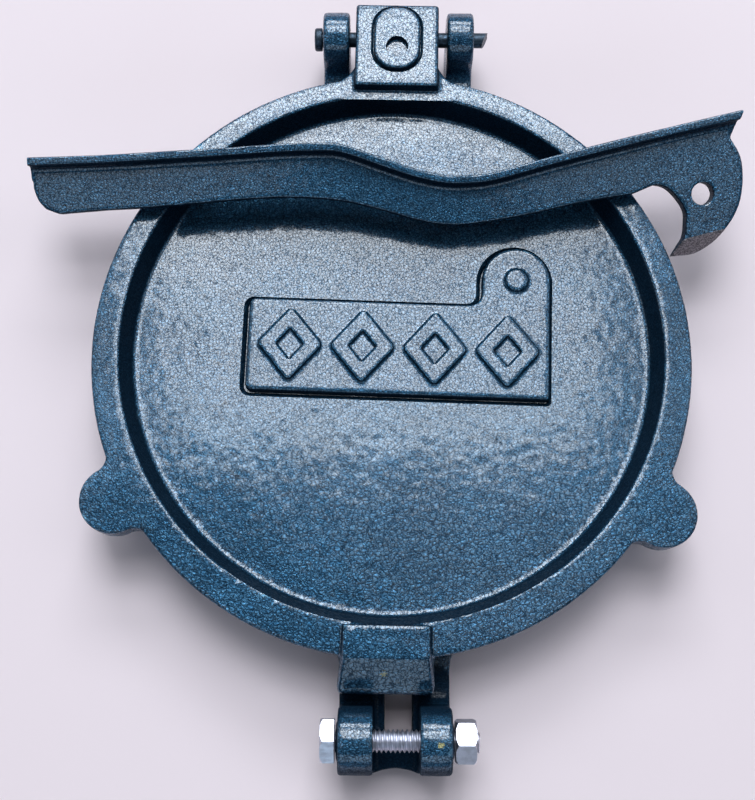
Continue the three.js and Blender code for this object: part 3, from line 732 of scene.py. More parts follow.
def new_group(name, inputs, outputs):
    """A shader node group with float and vector sockets made from (name, kind, default)."""
    group = bpy.data.node_groups.new(name, "ShaderNodeTree")
    kinds = {"float": "NodeSocketFloat", "vector": "NodeSocketVector"}
    for label, kind, default in inputs:
        socket = group.interface.new_socket(label, in_out="INPUT", socket_type=kinds[kind])
        if default is not None:
            socket.default_value = default
    for label, kind in outputs:
        group.interface.new_socket(label, in_out="OUTPUT", socket_type=kinds[kind])
    return group, put(group, "NodeGroupInput"), put(group, "NodeGroupOutput")


def finish_group(group, sink, values):
    """Links the values to the group's outputs in order."""
    for socket, value in zip(sink.inputs, values):
        group.links.new(value, socket)
    return group


def hammered_group():
    """Hammered paint: domed cells between thin dark veins, a finer grain, and the relief of both."""
    name = "Hammered cells"
    if name in bpy.data.node_groups:
        return bpy.data.node_groups[name]
    group, source, sink = new_group(
        name,
        [("Position", "vector", None), ("Cells per metre", "float", 900.0)],
        [("Cell", "float"), ("Tone", "float"), ("Grain", "float"), ("Height", "float")],
    )
    place, density = source.outputs[0], source.outputs[1]
    finer = math_node(group, "MULTIPLY", density, SWIRLS_PER_CELL)
    swirl = put(group, "ShaderNodeTexNoise", {"Vector": place, "Scale": finer, "Detail": 1.0})
    offset = vector_node(group, "SUBTRACT", swirl.outputs["Color"], (0.5, 0.5, 0.5))
    reach = math_node(group, "DIVIDE", SWIRL_REACH, density)
    curl = put(group, "ShaderNodeVectorMath", {0: offset, "Scale": reach}, operation="SCALE").outputs[0]
    curled = vector_node(group, "ADD", place, curl)
    edges = put(group, "ShaderNodeTexVoronoi", {"Vector": curled, "Scale": density},
                feature="DISTANCE_TO_EDGE").outputs["Distance"]
    mask = remap(group, edges, 0.0, VEIN_WIDTH)
    dome = remap(group, edges, 0.0, DOME_WIDTH)
    pick = put(group, "ShaderNodeTexVoronoi", {"Vector": curled, "Scale": density}, feature="F1")
    tone = put(group, "ShaderNodeSeparateColor", {0: pick.outputs["Color"]}).outputs[0]
    fine = put(group, "ShaderNodeTexNoise", {"Vector": place, "Scale": GRAINS_PER_METRE, "Detail": 2.0,
                                             "Roughness": 0.6})
    grain = remap(group, fine.outputs["Fac"], *GRAIN_BAND)
    height = math_node(group, "ADD", math_node(group, "MULTIPLY", dome, DOME_RELIEF),
                       math_node(group, "MULTIPLY", grain, GRAIN_RELIEF))
    return finish_group(group, sink, (mask, tone, grain, height))


def patches_group():
    """Slow changes over a casting: broad cloudy tone, lumps, and a scatter of small sand pits."""
    name = "Casting patches"
    if name in bpy.data.node_groups:
        return bpy.data.node_groups[name]
    group, source, sink = new_group(
        name,
        [("Position", "vector", None), ("Patches per metre", "float", PATCHES_PER_METRE)],
        [("Cloud", "float"), ("Lumps", "float"), ("Pits", "float")],
    )
    place, density = source.outputs[0], source.outputs[1]
    broad = put(group, "ShaderNodeTexNoise", {"Vector": place, "Scale": density, "Detail": 3.0})
    lumps = put(group, "ShaderNodeTexNoise", {"Vector": place, "Scale": LUMPS_PER_METRE, "Detail": 2.0})
    dots = put(group, "ShaderNodeTexVoronoi", {"Vector": place, "Scale": PITS_PER_METRE}, feature="F1")
    cloud = remap(group, broad.outputs["Fac"], *PATCH_BAND)
    pits = remap(group, dots.outputs["Distance"], *PIT_BAND)
    return finish_group(group, sink, (cloud, lumps.outputs["Fac"], pits))


def new_material(name):
    """An empty material with its node tree, its shader and the place on the piece."""
    material = bpy.data.materials.new(name)
    material.use_nodes = True
    tree = material.node_tree
    tree.nodes.clear()
    output = put(tree, "ShaderNodeOutputMaterial")
    shader = put(tree, "ShaderNodeBsdfPrincipled")
    tree.links.new(shader.outputs[0], output.inputs[0])
    place = put(tree, "ShaderNodeTexCoord").outputs["Object"]
    return material, tree, shader, place


def use(tree, shader, **inputs):
    """Gives the shader's inputs their values, the words of their names joined by underscores."""
    for name, value in inputs.items():
        feed(tree, shader.inputs[name.replace("_", " ")], value)


def cells(tree, place, density):
    """Cell, tone, grain and height of hammered paint with so many cells to the metre."""
    return put(tree, "ShaderNodeGroup", {"Position": place, "Cells per metre": density},
               node_tree=hammered_group()).outputs


def paint_cells(tree, place, size, pooled):
    """Cell, tone, grain and height of the paint, its cells growing over a span along Y where it pooled."""
    cell, tone, grain, height = cells(tree, place, 1.0 / size)
    if pooled:
        share = remap(tree, coordinate(tree, place, "Y"), *pooled)
        large = cells(tree, place, 1.0 / (size * POOLED_CELLS))
        cell, tone, height = (blend_value(tree, share, small, big) for small, big in
                              ((cell, large[0]), (tone, large[1]), (height, large[3])))
    return cell, tone, grain, height


def painted_shade(tree, place, shaded_below, shade_circles):
    """How far painted shade darkens and dulls the steep faces, and whatever lies below the two levels.

    It is full inside the shade circles, each a centre and a radius in plan, and faint in the open.
    """
    normal = put(tree, "ShaderNodeTexCoord").outputs["Normal"]
    # Painted shade: steep faces are darkened towards the vein colour and lose their coat
    shade_and_dull = remap(tree, math_node(tree, "ABSOLUTE", coordinate(tree, normal, "Z")), *SHADED_STEEPS)
    if shaded_below:
        # Painted shade on whatever lies below the two levels
        low = remap(tree, coordinate(tree, place, "Z"), *shaded_below, 0.0, SHADE_BELOW)
        shade_and_dull = math_node(tree, "MAXIMUM", shade_and_dull, low)
    plan = vector_node(tree, "MULTIPLY", place, (1.0, 1.0, 0.0))
    # Painted shade is full inside each circle and faint elsewhere
    shade_share = SHADE_IN_THE_OPEN
    for centre, radius in shade_circles:
        away = vector_node(tree, "DISTANCE", plan, centre)
        inside = remap(tree, away, radius + SHADE_FADE, radius - SHADE_FADE)
        shade_share = math_node(tree, "MAXIMUM", shade_share, inside)
    return math_node(tree, "MULTIPLY", shade_and_dull, shade_share)


def paint_colour(tree, finish, cell, tone, grain, cloud, shade_and_dull):
    """Glinting cells between dark veins, with a painted highlight on rounded edges and painted shade in
    recesses and on steep faces.
    """
    vein, glint = rgba(finish.vein), rgba(finish.glint)
    glinting = blend_colour(tree, spread(tree, tone, 0.0, GLINT_IN_CELLS), rgba(finish.cell), glint)
    grained = blend_colour(tree, spread(tree, grain, DARK_IN_GRAIN, 0.0), glinting, vein)
    veined = blend_colour(tree, spread(tree, cell, CELL_IN_VEINS, 1.0), vein, grained)
    clouded = blend_colour(tree, spread(tree, cloud, 0.0, DARK_IN_PATCHES), veined, vein)
    curve = put(tree, "ShaderNodeNewGeometry").outputs["Pointiness"]
    # Painted highlight: rounded edges are lightened towards the glint colour
    edge_highlight = blend_colour(tree, remap(tree, curve, *PAINTED_EDGE_HIGHLIGHT), clouded, glint)
    # Painted shade: recesses and the shaded faces are darkened towards the vein colour
    painted_dark = math_node(tree, "MAXIMUM", remap(tree, curve, *PAINTED_RECESS_SHADE), shade_and_dull)
    return blend_colour(tree, painted_dark, edge_highlight, vein)


def chipped(tree, place, grain, colour, chip, radius, primer):
    """The colour with a small ragged chip down to the primer."""
    away = vector_node(tree, "DISTANCE", place, chip)
    ragged = math_node(tree, "ADD", away, spread(tree, grain, -radius / 4, radius / 4))
    return blend_colour(tree, remap(tree, ragged, radius, radius * 0.6), colour, primer)


def ground_off(tree, place, point, normal):
    """Where a cut, given by a point and its normal, has ground the paint off."""
    depth = vector_node(tree, "DOT_PRODUCT", vector_node(tree, "SUBTRACT", place, point), normal)
    return remap(tree, math_node(tree, "ABSOLUTE", depth), *GRIND_REACH)


def paint_relief(tree, height, lumps, pits, depth):
    """The paint's cells, the casting's lumps and its pits, one bump on the other."""
    normal = put(tree, "ShaderNodeBump", {"Height": height, "Strength": 1.0, "Distance": depth}).outputs[0]
    for form, strength in ((lumps, 1.0), (pits, PIT_STRENGTH)):
        normal = put(tree, "ShaderNodeBump", {"Height": form, "Strength": strength, "Normal": normal,
                                              "Distance": depth * LUMP_DEPTH}).outputs[0]
    return normal


def hammered_paint(name, finish, cell_share=1.0, chips=(), pooled=None, ground=None, shaded_below=None,
                   shade_circles=()):
    """Glossy blue hammered paint over cast iron, with painted shade and painted edge highlights.

    The chips are places with their radius, pooled is a span along Y, ground is a point and a normal of a
    cut that shows bare iron, and the last two are a pair of levels below which shade is painted
    and circles in plan where the painted shade is full.
    """
    material, tree, shader, place = new_material(name)
    cell, tone, grain, height = paint_cells(tree, place, finish.cell_size * cell_share, pooled)
    patches = put(tree, "ShaderNodeGroup", {"Position": place}, node_tree=patches_group())
    cloud, lumps, pits = patches.outputs
    shade_and_dull = painted_shade(tree, place, shaded_below, shade_circles)
    colour = paint_colour(tree, finish, cell, tone, grain, cloud, shade_and_dull)
    for chip, radius in chips:
        colour = chipped(tree, place, grain, colour, chip, radius, rgba(finish.chip))
    # Where shade is painted, the paint is also made rougher and loses its coat
    rough = math_node(tree, "ADD", spread(tree, cell, finish.gloss + VEIN_ROUGHNESS, finish.gloss),
                      math_node(tree, "MULTIPLY", shade_and_dull, SHADE_ROUGHNESS))
    coat = math_node(tree, "MULTIPLY", spread(tree, cell, COAT_IN_VEINS, 1.0),
                     spread(tree, grain, COAT_IN_GRAIN, 1.0))
    coat = math_node(tree, "MULTIPLY", coat, math_node(tree, "SUBTRACT", 1.0, shade_and_dull))
    if ground:
        bare = ground_off(tree, place, *ground)
        iron = blend_colour(tree, grain, rgba(IRON_DARK), rgba(IRON_LIGHT))
        colour = blend_colour(tree, bare, colour, iron)
        rough = blend_value(tree, bare, rough, IRON_ROUGHNESS)
        coat = math_node(tree, "MULTIPLY", coat, math_node(tree, "SUBTRACT", 1.0, bare))
    use(tree, shader, Base_Color=colour, Roughness=rough, Metallic=PAINT_METALLIC, Coat_Weight=coat,
        Coat_Roughness=COAT_ROUGHNESS, Coat_IOR=COAT_IOR,
        Normal=paint_relief(tree, height, lumps, pits, finish.bump))
    return material


def plated_zinc(name, finish):
    """Bright zinc plating, faintly mottled, with drawn streaks along the bolt."""
    material, tree, shader, place = new_material(name)
    stretched = put(tree, "ShaderNodeMapping", {"Vector": place, "Scale": STREAK_STRETCH}).outputs[0]
    streaks = put(tree, "ShaderNodeTexNoise", {"Vector": stretched, "Scale": STREAKS_PER_METRE,
                                               "Detail": 3.0})
    mottle = put(tree, "ShaderNodeTexNoise", {"Vector": place, "Scale": MOTTLES_PER_METRE, "Detail": 3.0})
    share = remap(tree, mottle.outputs["Fac"], 0.35, 0.7, 0.0, 0.45)
    shade_and_dull = tuple(c * DULL_ZINC for c in finish.zinc)
    scratch = put(tree, "ShaderNodeBump", {"Height": streaks.outputs["Fac"], "Strength": 0.5,
                                           "Distance": SCRATCH_DEPTH})
    use(tree, shader, Base_Color=blend_colour(tree, share, rgba(finish.zinc), rgba(shade_and_dull)), Metallic=1.0,
        Roughness=remap(tree, streaks.outputs["Fac"], 0.3, 0.7, 0.32, 0.5), Normal=scratch.outputs[0])
    return material


def dark_steel(name, finish):
    """Steel under a thin coat of the dark paint, worn a little along the bar."""
    material, tree, shader, place = new_material(name)
    grain, height = cells(tree, place, STEEL_CELLS_PER_METRE)[2:]
    wear = put(tree, "ShaderNodeTexNoise", {"Vector": place, "Scale": WEAR_PER_METRE, "Detail": 4.0})
    share = remap(tree, wear.outputs["Fac"], 0.52, 0.7, 0.0, 0.6)
    bare = tuple(min(1.0, c * BARE_STEEL) for c in finish.steel)
    relief = put(tree, "ShaderNodeBump", {"Height": height, "Strength": 0.6, "Distance": STEEL_RELIEF})
    use(tree, shader, Base_Color=blend_colour(tree, share, rgba(finish.steel), rgba(bare)), Metallic=0.6,
        Roughness=spread(tree, grain, 0.3, 0.5), Normal=relief.outputs[0])
    return material


# Base casting

def base_pocket(sizes):
    """One wedge-shaped hollow of the underside, as a solid to cut with."""
    wedge = 360 / BASE_POCKETS
    inner, outer = BASE_PAD_RADIUS, sizes.base_radius - BASE_POCKET_SKIRT
    near = math.degrees(math.asin(BASE_RIB_WIDTH / 2 / inner))
    far = math.degrees(math.asin(BASE_RIB_WIDTH / 2 / outer))
    outline = arc(0, 0, outer, far, wedge - far, POCKET_SIDE_STEPS)
    outline += arc(0, 0, inner, wedge - near, near, POCKET_SIDE_STEPS // 2)
    return prism("Pocket", outline, -CUT_PAST, BASE_POCKET_DEPTH)


def rear_arm(sizes, side):
    """An arm under the upper plate that ends in a rounded ear on the hinge pin."""
    y, z, r = sizes.hinge_y, sizes.hinge_z, sizes.hinge.ear_radius
    top, root = sizes.plate.base_thickness, sizes.base_radius - ARM_OVERLAP
    outline = [(root, 0)]
    outline += bow((y - r / 2, 0), (y + r, 0), (y + r, z), 10)
    outline += arc(y, z, r, 0, 180, 28)
    outline += bow((y - r, z), (y - r, top), (y - r * 1.5, top), 8)
    outline += [(root, top)]
    inner, outer = side * sizes.hinge.gap / 2, side * sizes.hinge_outer
    low, high = min(inner, outer), max(inner, outer)
    arm = prism("Rear arm", outline, low, high, "X")
    soften(arm, ARM_ROUND, rim_edges(0, low, high))
    return carve(arm, rod("Bore", sizes.bore, low - CUT_PAST, high + CUT_PAST, y, z))


def tongue(sizes):
    """The slotted plate that carries the front ears, its front edge rounded over."""
    left, right = sizes.clevis_left, sizes.clevis_right
    root = sizes.base_radius - TONGUE_OVERLAP
    front = sizes.bolt_y - TONGUE_REACH
    neck = -(root + TONGUE_FLARE_LENGTH)
    r = TONGUE_FRONT_ROUND
    gap = sizes.hinge.front_gap / 2
    outline = bow((left - TONGUE_FLARE, -root), (left, neck + r), (left, neck - r), 10)
    outline += arc(left + r, front + r, r, 180, 270, 6)
    outline += bow((-gap, front), (0, front + 2 * TONGUE_FRONT_HOLLOW), (gap, front), 10)
    outline += arc(right - r, front + r, r, -90, 0, 6)
    outline += bow((right, neck - r), (right, neck + r), (right + TONGUE_FLARE, -root), 10)
    top = sizes.tongue_top
    body = prism("Tongue", outline, 0, top)
    soften(body, TONGUE_NOSE_ROUND,
           lambda c: level(c, 2, top) and all(p[1] < front + TONGUE_NOSE_BAND for p in c), 6)
    slot = rounded_rectangle(SLOT_WIDTH, SLOT_LENGTH, SLOT_WIDTH / 6, 6, SLOT_SHIFT,
                             sizes.bolt_y - SLOT_REACH + SLOT_LENGTH / 2)
    return carve(body, prism("Slot", slot, -CUT_PAST, top + CUT_PAST))


def front_ear(sizes, side):
    """A rounded ear on the pivot bolt, with a ramp up to it and a faced boss outside."""
    y, z, r = sizes.bolt_y, sizes.bolt_z, sizes.hinge.front_ear_radius
    top, root = sizes.tongue_top, sizes.base_radius - TONGUE_OVERLAP
    outline = arc(y - r + TONGUE_FRONT_ROUND, TONGUE_FRONT_ROUND, TONGUE_FRONT_ROUND, 180, 270, 6)
    outline += [(-root, 0), (-root, top)]
    outline += bow((y + r + RAMP_LENGTH, top), (y + r, top), (y + r, top + RAMP_RISE), 8)
    outline += arc(y, z, r, 0, 180, 32)
    inner, outer = side * sizes.hinge.front_gap / 2, sizes.clevis_left if side < 0 else sizes.clevis_right
    low, high = min(inner, outer), max(inner, outer)
    ear = prism("Front ear", outline, low, high, "X")
    soften(ear, EAR_OUTER_ROUND, rim_edges(0, outer))
    soften(ear, EAR_INNER_ROUND, rim_edges(0, inner))
    ends = sorted((outer - side * mm(1), outer + side * BOSS_HEIGHT))
    boss = rod("Boss", sizes.bolt.radius + BOSS_WIDTH, ends[0], ends[1], y, z)
    hole = rod("Bore", sizes.bolt_bore, low - CUT_PAST, high + CUT_PAST, y, z)
    carve(ear, hole, keep=True)
    return [ear, carve(boss, hole)]


def base_casting(sizes):
    plate = sizes.plate
    body = disc("Base disc", sizes.base_radius, 0, plate.base_thickness, edge_round=plate.edge_round)
    pocket = base_pocket(sizes)
    for index in range(BASE_POCKETS):
        settle(pocket, Matrix.Rotation(math.tau / BASE_POCKETS if index else 0.0, 4, "Z"))
        carve(body, pocket, keep=index < BASE_POCKETS - 1)
    parts = [body, rear_arm(sizes, -1), rear_arm(sizes, 1), tongue(sizes)]
    parts += front_ear(sizes, -1) + front_ear(sizes, 1)
    return cast("base_casting", parts, BASE_GRAIN, sizes.triangles)


# Upper casting

def sunk_disc(sizes):
    """The upper disc: its top face inset for the rim, shifted, and pushed down to the pan."""
    plate = sizes.plate
    body = disc("Upper disc", plate.radius, sizes.plate_bottom, sizes.rim_top, edge_round=plate.edge_round)
    edit(body)
    choose(body, "FACE", lambda c: level(c, 2, sizes.rim_top))
    bpy.ops.mesh.inset(thickness=plate.rim_width - plate.edge_round)
    bpy.ops.transform.translate(value=(0, plate.pan_shift, 0))
    bpy.ops.mesh.extrude_region_move(TRANSFORM_OT_translate={"value": (0, 0, -plate.pan_depth)})
    share = sizes.pan_radius / sizes.rim_inner
    bpy.ops.transform.resize(value=(share, share, 1), center_override=(0, plate.pan_shift, sizes.pan_top))
    leave()
    near = (sizes.rim_inner + sizes.pan_radius) / 2

    def inside(corners):
        return all(math.hypot(c[0], c[1] - plate.pan_shift) < sizes.rim_inner + mm(0.5) for c in corners)

    soften(body, PAN_FILLET, lambda c: inside(c) and level(c, 2, sizes.pan_top)
           and all(math.hypot(p[0], p[1]) > near * 0.9 for p in c), 4)
    soften(body, RIM_EDGE_ROUND, lambda c: inside(c) and level(c, 2, sizes.rim_top)
           and all(math.hypot(p[0], p[1]) > near for p in c), 3)
    return body


def tab(sizes, side):
    """A finger tab on the rim, filleted into the plate's edge."""
    w, root = sizes.plate.tab_radius, sizes.rim_inner + sizes.plate.rim_width / 2
    out = sizes.plate.radius + sizes.plate.tab_reach
    outline = bow((root, -w - TAB_FILLET), (sizes.plate.radius, -w), (out, -w), 10)
    outline += arc(out, 0, w, -90, 90, 24)
    outline += bow((out, w), (sizes.plate.radius, w), (root, w + TAB_FILLET), 10)
    low, high = sizes.rim_top - TAB_THICKNESS, sizes.rim_top
    body = prism("Tab", outline, low, high)
    soften(body, TAB_ROUND, rim_edges(2, low, high))
    settle(body, Matrix.Rotation(-TAB_RIGHT if side > 0 else math.pi + TAB_LEFT, 4, "Z"))
    return body


def back_lug(sizes):
    """The block between the rear ears, bored for the hinge pin."""
    top, round_, near = sizes.rim_top + BACK_LUG_RISE, BACK_LUG_ROUND, BACK_LUG_FRONT_ROUND
    y, z, r = sizes.hinge_y, sizes.hinge_z, sizes.hinge.pin_radius + BARREL_WALL
    front = sizes.rim_inner + sizes.plate.pan_shift + BACK_LUG_STEP
    back = y + BACK_LUG_TAIL
    half = sizes.hinge.gap / 2 - sizes.hinge.side_play
    outline = [(front, sizes.plate_bottom), (y - r, sizes.plate_bottom)]
    outline += arc(y, z, r, 216, 360, 20)
    outline += arc(back - round_, top - round_, round_, 0, 90, 6)
    outline += arc(front + near, top - near, near, 90, 180, 5)
    lug = prism("Back lug", outline, -half, half, "X")
    soften(lug, BACK_LUG_SIDE_ROUND,
           lambda c: rim_edges(0, -half, half)(c) and all(p[2] > sizes.rim_top for p in c), 5)
    return lug


def neck_flares(sizes):
    """The metal that widens from the back lug into the rim on both sides."""
    half = sizes.hinge.gap / 2 - sizes.hinge.side_play
    out = half + FLARE_WIDTH
    radius, edge = sizes.plate.radius, sizes.plate.edge_round
    back = radius + FLARE_REACH
    rim_y = math.sqrt(radius ** 2 - out ** 2)
    inside = rim_y - sizes.plate.rim_width / 2
    right = [(out, rim_y)]
    right += bow((out, rim_y), (half + mm(1), rim_y + edge), (half - mm(1), back + mm(1)), 10)
    left = [(-x, y) for x, y in reversed(right)]
    body = prism("Neck", [(-out, inside), (out, inside)] + right + left, sizes.plate_bottom, sizes.rim_top)
    soften(body, FLARE_ROUND, lambda c: level(c, 2, sizes.rim_top)
           and any(p[1] > rim_y - mm(0.1) for p in c)
           and not all(abs(p[1] - inside) < mm(0.1) for p in c))
    return body


def front_lug(sizes):
    """The pressing lug above the front of the rim, with drafted sides and a sloping front."""
    top, lip, round_ = sizes.rim_top + FRONT_LUG_RISE, sizes.rim_top - FRONT_LUG_LIP, FRONT_LUG_ROUND
    back = sizes.rim_inner - sizes.plate.pan_shift + SEAT_GAP
    crease = back + FRONT_LUG_FLAT
    front = crease + FRONT_LUG_SLOPE + round_
    slope = math.degrees(math.atan2(top - lip, FRONT_LUG_SLOPE))
    outline = [(-back, sizes.pan_top), (-back, top), (-crease, top), (-front + round_, lip)]
    outline += arc(-front + round_, lip - round_, round_, 90 + slope / 2, 180, 4)
    outline += arc(-front + round_, sizes.plate_bottom + round_, round_, 180, 270, 4)
    outline += [(-back, sizes.plate_bottom)]
    half = FRONT_LUG_WIDTH / 2
    lug = prism("Front lug", outline, -half, half, "X")
    share = FRONT_LUG_TOP_WIDTH / FRONT_LUG_WIDTH
    edit(lug)
    choose(lug, "VERT", lambda c: c[0][2] > top - mm(0.1))
    bpy.ops.transform.resize(value=(share, 1, 1), center_override=(0, -crease, top))
    leave()
    soften(lug, FRONT_LUG_SIDE_ROUND, lambda c: all(abs(p[0]) > half * share - mm(0.5) for p in c)
           and abs(c[0][0] - c[1][0]) < mm(2) and all(p[2] > sizes.plate_bottom + mm(3) for p in c)
           and all(p[1] < -back - mm(0.5) for p in c), 4)
    soften(lug, FRONT_LUG_CREASE_ROUND,
           lambda c: all(abs(p[1] + crease) < mm(0.5) and p[2] > top - mm(0.5) for p in c), 3)
    return lug


def ornament_skin(body, triangles):
    return skin(body, ORNAMENT_GRAIN, 1, ORNAMENT_UNEVENNESS, ORNAMENT_SAND, triangles)


def plaque_outline(margin=0.0):
    """A rectangle with a round-topped crest on its right end, grown all round by a margin."""
    x, y, r = PLAQUE_WIDTH / 2 + margin, PLAQUE_HEIGHT / 2 + margin, PLAQUE_ROUND + margin
    half = CREST_WIDTH / 2 + margin
    left, fillet = x - 2 * half, CREST_FILLET - margin
    outline = arc(-x + r, -y + r, r, 180, 270, 6) + arc(x - r / 2, -y + r / 2, r / 2, 270, 360, 4)
    outline += arc(x - half, y + CREST_RISE - half, half, 0, 180, 32)
    outline += bow((left, y + fillet), (left, y), (left - fillet, y), 8)
    return outline + arc(-x + r, y - r, r, 90, 180, 6)


def raised(name, outline, low, top, round_=RELIEF_ROUND):
    """A low raised form with rounded upper edges."""
    body = prism(name, outline, low, top)
    soften(body, round_, rim_edges(2, top), 4)
    return body


def lozenge(x, floor, top):
    """A raised diamond with a sunk middle, its outer corners rounded."""
    w, h = LOZENGE_WIDTH / 2, LOZENGE_HEIGHT / 2
    body = prism("Lozenge", [(x + w, 0), (x, h), (x - w, 0), (x, -h)], floor, top)
    edit(body)
    choose(body, "FACE", lambda c: level(c, 2, top))
    bpy.ops.mesh.inset(thickness=LOZENGE_BAND)
    bpy.ops.mesh.extrude_region_move(TRANSFORM_OT_translate={"value": (0, 0, LOZENGE_FLOOR - RELIEF)})
    leave()
    soften(body, LOZENGE_CORNER_ROUND, lambda c: abs(c[0][2] - c[1][2]) > mm(0.2)
           and all(abs(p[0] - x) / w + abs(p[1]) / h > 0.98 for p in c), 4)
    soften(body, LOZENGE_EDGE_ROUND, rim_edges(2, top), 3)
    return body


def plaque_groove(sizes):
    """The groove around the plaque, its outer side sloping, as a solid to cut with."""
    low, top = sizes.pan_top - PLAQUE_GROOVE_DEPTH, sizes.pan_top + mm(0.6)
    body = prism("Plaque groove", plaque_outline(PLAQUE_GROOVE), low, top)
    soften(body, PLAQUE_GROOVE_SLOPE, rim_edges(2, low), 1)
    settle(body, plaque_place() @ Matrix.Translation((-PLAQUE_GROOVE / 2, -PLAQUE_GROOVE / 2, 0)))
    return body


def plaque_place():
    return Matrix.Translation((PLAQUE_X, PLAQUE_Y, 0)) @ Matrix.Rotation(PLAQUE_TURN, 4, "Z")


def plaque(sizes):
    """A plain plaque with a row of lozenges and a raised disc in its crest."""
    floor = sizes.pan_top - PLAQUE_GROOVE_DEPTH - ORNAMENT_ROOT
    face = sizes.pan_top + PLAQUE_RELIEF
    top = face + RELIEF
    body = raised("Plaque", plaque_outline(), floor, face, PLAQUE_EDGE_ROUND)
    for i in range(LOZENGES):
        x = (i - (LOZENGES - 1) / 2) * LOZENGE_PITCH
        carve(body, lozenge(x, face - RELIEF_ROOT, top), "UNION", solver="MANIFOLD")
    x = PLAQUE_WIDTH / 2 - CREST_WIDTH / 2
    y = PLAQUE_HEIGHT / 2 + CREST_RISE - CREST_WIDTH / 2
    crest = raised("Crest disc", arc(x, y, CREST_DISC, 0, 360, 40), face - RELIEF_ROOT, top)
    carve(body, crest, "UNION", solver="MANIFOLD")
    settle(body, plaque_place())
    return ornament_skin(body, sizes.triangles * PLAQUE_SHARE)


def link_outline(margin=0.0):
    width, height = LINK_WIDTH + 2 * margin, LINK_HEIGHT + 2 * margin
    return rounded_rectangle(width, height, width * 0.46, 10, 0, LINK_Y)


def link_groove(sizes):
    """The groove around the link, its outer side sloping, as a solid to cut with."""
    top = sizes.rim_top + BACK_LUG_RISE
    body = prism("Link groove", link_outline(LINK_GROOVE), top - LINK_GROOVE_DEPTH, top + mm(0.4))
    soften(body, LINK_GROOVE, rim_edges(2, top - LINK_GROOVE_DEPTH), 1)
    return body


def lug_link(sizes):
    """A raised link on the back lug, with one round hollow."""
    top = sizes.rim_top + BACK_LUG_RISE
    low = top - LINK_GROOVE_DEPTH - LINK_ROOT
    body = raised("Lug link", link_outline(), low, top + RELIEF)
    hollow = arc(0, LINK_HOLE_Y, LINK_HOLE_RADIUS, 0, 360, 36)
    carve(body, prism("Link hole", hollow, top - LINK_HOLE_DEPTH, top + CUT_PAST), solver="MANIFOLD")
    return ornament_skin(body, sizes.triangles * LINK_SHARE)


def upper_casting(sizes):
    y, half = sizes.hinge_y, sizes.hinge.gap / 2
    parts = [sunk_disc(sizes), tab(sizes, -1), tab(sizes, 1), neck_flares(sizes)]
    lug = back_lug(sizes)
    parts += [lug, front_lug(sizes)]
    carve(lug, rod("Bore", sizes.bore, -half, half, y, sizes.hinge_z))
    ornament = [(plaque_groove(sizes), "DIFFERENCE"), (plaque(sizes), "UNION")]
    ornament += [(link_groove(sizes), "DIFFERENCE"), (lug_link(sizes), "UNION")]
    body = cast("upper_casting", parts, UPPER_GRAIN, sizes.triangles * UPPER_SHARE, 1, ornament=ornament)
    about = Vector((0, y, 0))
    turned = Matrix.Translation(about + Vector((PLATE_SHIFT, 0, 0))) @ Matrix.Rotation(PLATE_YAW, 4, "Z")
    settle(body, turned @ Matrix.Translation(-about))
    return body


# Lever

def lever_points(sizes, shares):
    return [(u * sizes.lever.length, v * sizes.lever.depth) for u, v in shares]


def grind_frame(sizes):
    """Where the hook's tip is ground off, its cut facing up along Z and forwards along -Y."""
    (x0, y0), (x1, y1) = lever_points(sizes, HOOK_GRIND_SHARES)
    turn = Matrix.Rotation(math.atan2(y1 - y0, x1 - x0), 4, "Z") @ Matrix.Rotation(GRIND_TILT, 4, "X")
    return Matrix.Translation(((x0 + x1) / 2, (y0 + y1) / 2, sizes.lever.web)) @ turn


def lever_place(sizes):
    """From the lever's own frame to where it lies across the plate."""
    lever = sizes.lever
    tilt = math.atan(lever.stand / (LEVER_REST_DEPTH - lever.flange))
    place = Matrix.Translation((0, LEVER_REST_Y, sizes.rim_top + LEVER_REST_RISE))
    return place @ Matrix.Rotation(lever.turn, 4, "Z") @ Matrix.Rotation(tilt, 4, "X")


def grind_plane(sizes):
    """A point on the ground face of the hook and the face's normal."""
    cut = lever_place(sizes) @ grind_frame(sizes)
    return tuple(cut.translation), tuple(cut.to_3x3() @ Vector((0, 0, 1)))


def lever_web(sizes):
    """The web from the handle's end to the hook, with its eye bored and the hook's tip ground off."""
    lever = sizes.lever
    sink = lever.flange / 2
    crown, _ = smooth_line(lever_points(sizes, CROWN_SHARES), CROWN_STEPS)
    end = crown[-1].x - 2 * sink
    points = [(p.x, p.y - sink) for p in crown if p.x < end]
    left = lever_points(sizes, LEFT_END_SHARES)
    points[0] = (left[-1][0], points[0][1])
    for shares, steps in ((HOOK_SHARES, 24), (BAY_SHARES, 22), (LOWER_SHARES, 48), (LEFT_END_SHARES, 8)):
        points += [tuple(p) for p in smooth_line(lever_points(sizes, shares), steps)[0]]
    web = prism("Web", points, 0, lever.web)
    soften(web, WEB_ROUND, rim_edges(2, 0, lever.web), 4)
    bpy.ops.object.select_all(action="DESELECT")
    bpy.ops.mesh.primitive_cube_add(size=1)
    grinder = bpy.context.object
    deep = GRINDER_DEPTH
    settle(grinder, grind_frame(sizes) @ Matrix.Translation((0, -deep / 2, deep / 2))
           @ Matrix.Diagonal((GRINDER_WIDTH, deep, deep, 1)))
    carve(web, grinder)
    (x, y), = lever_points(sizes, [EYE_SHARES])
    eye = prism("Eye", arc(x, y, sizes.bolt.radius + LEVER_EYE_CLEARANCE, 0, 360, 36), -CUT_PAST,
                lever.web + CUT_PAST)
    return carve(web, eye)


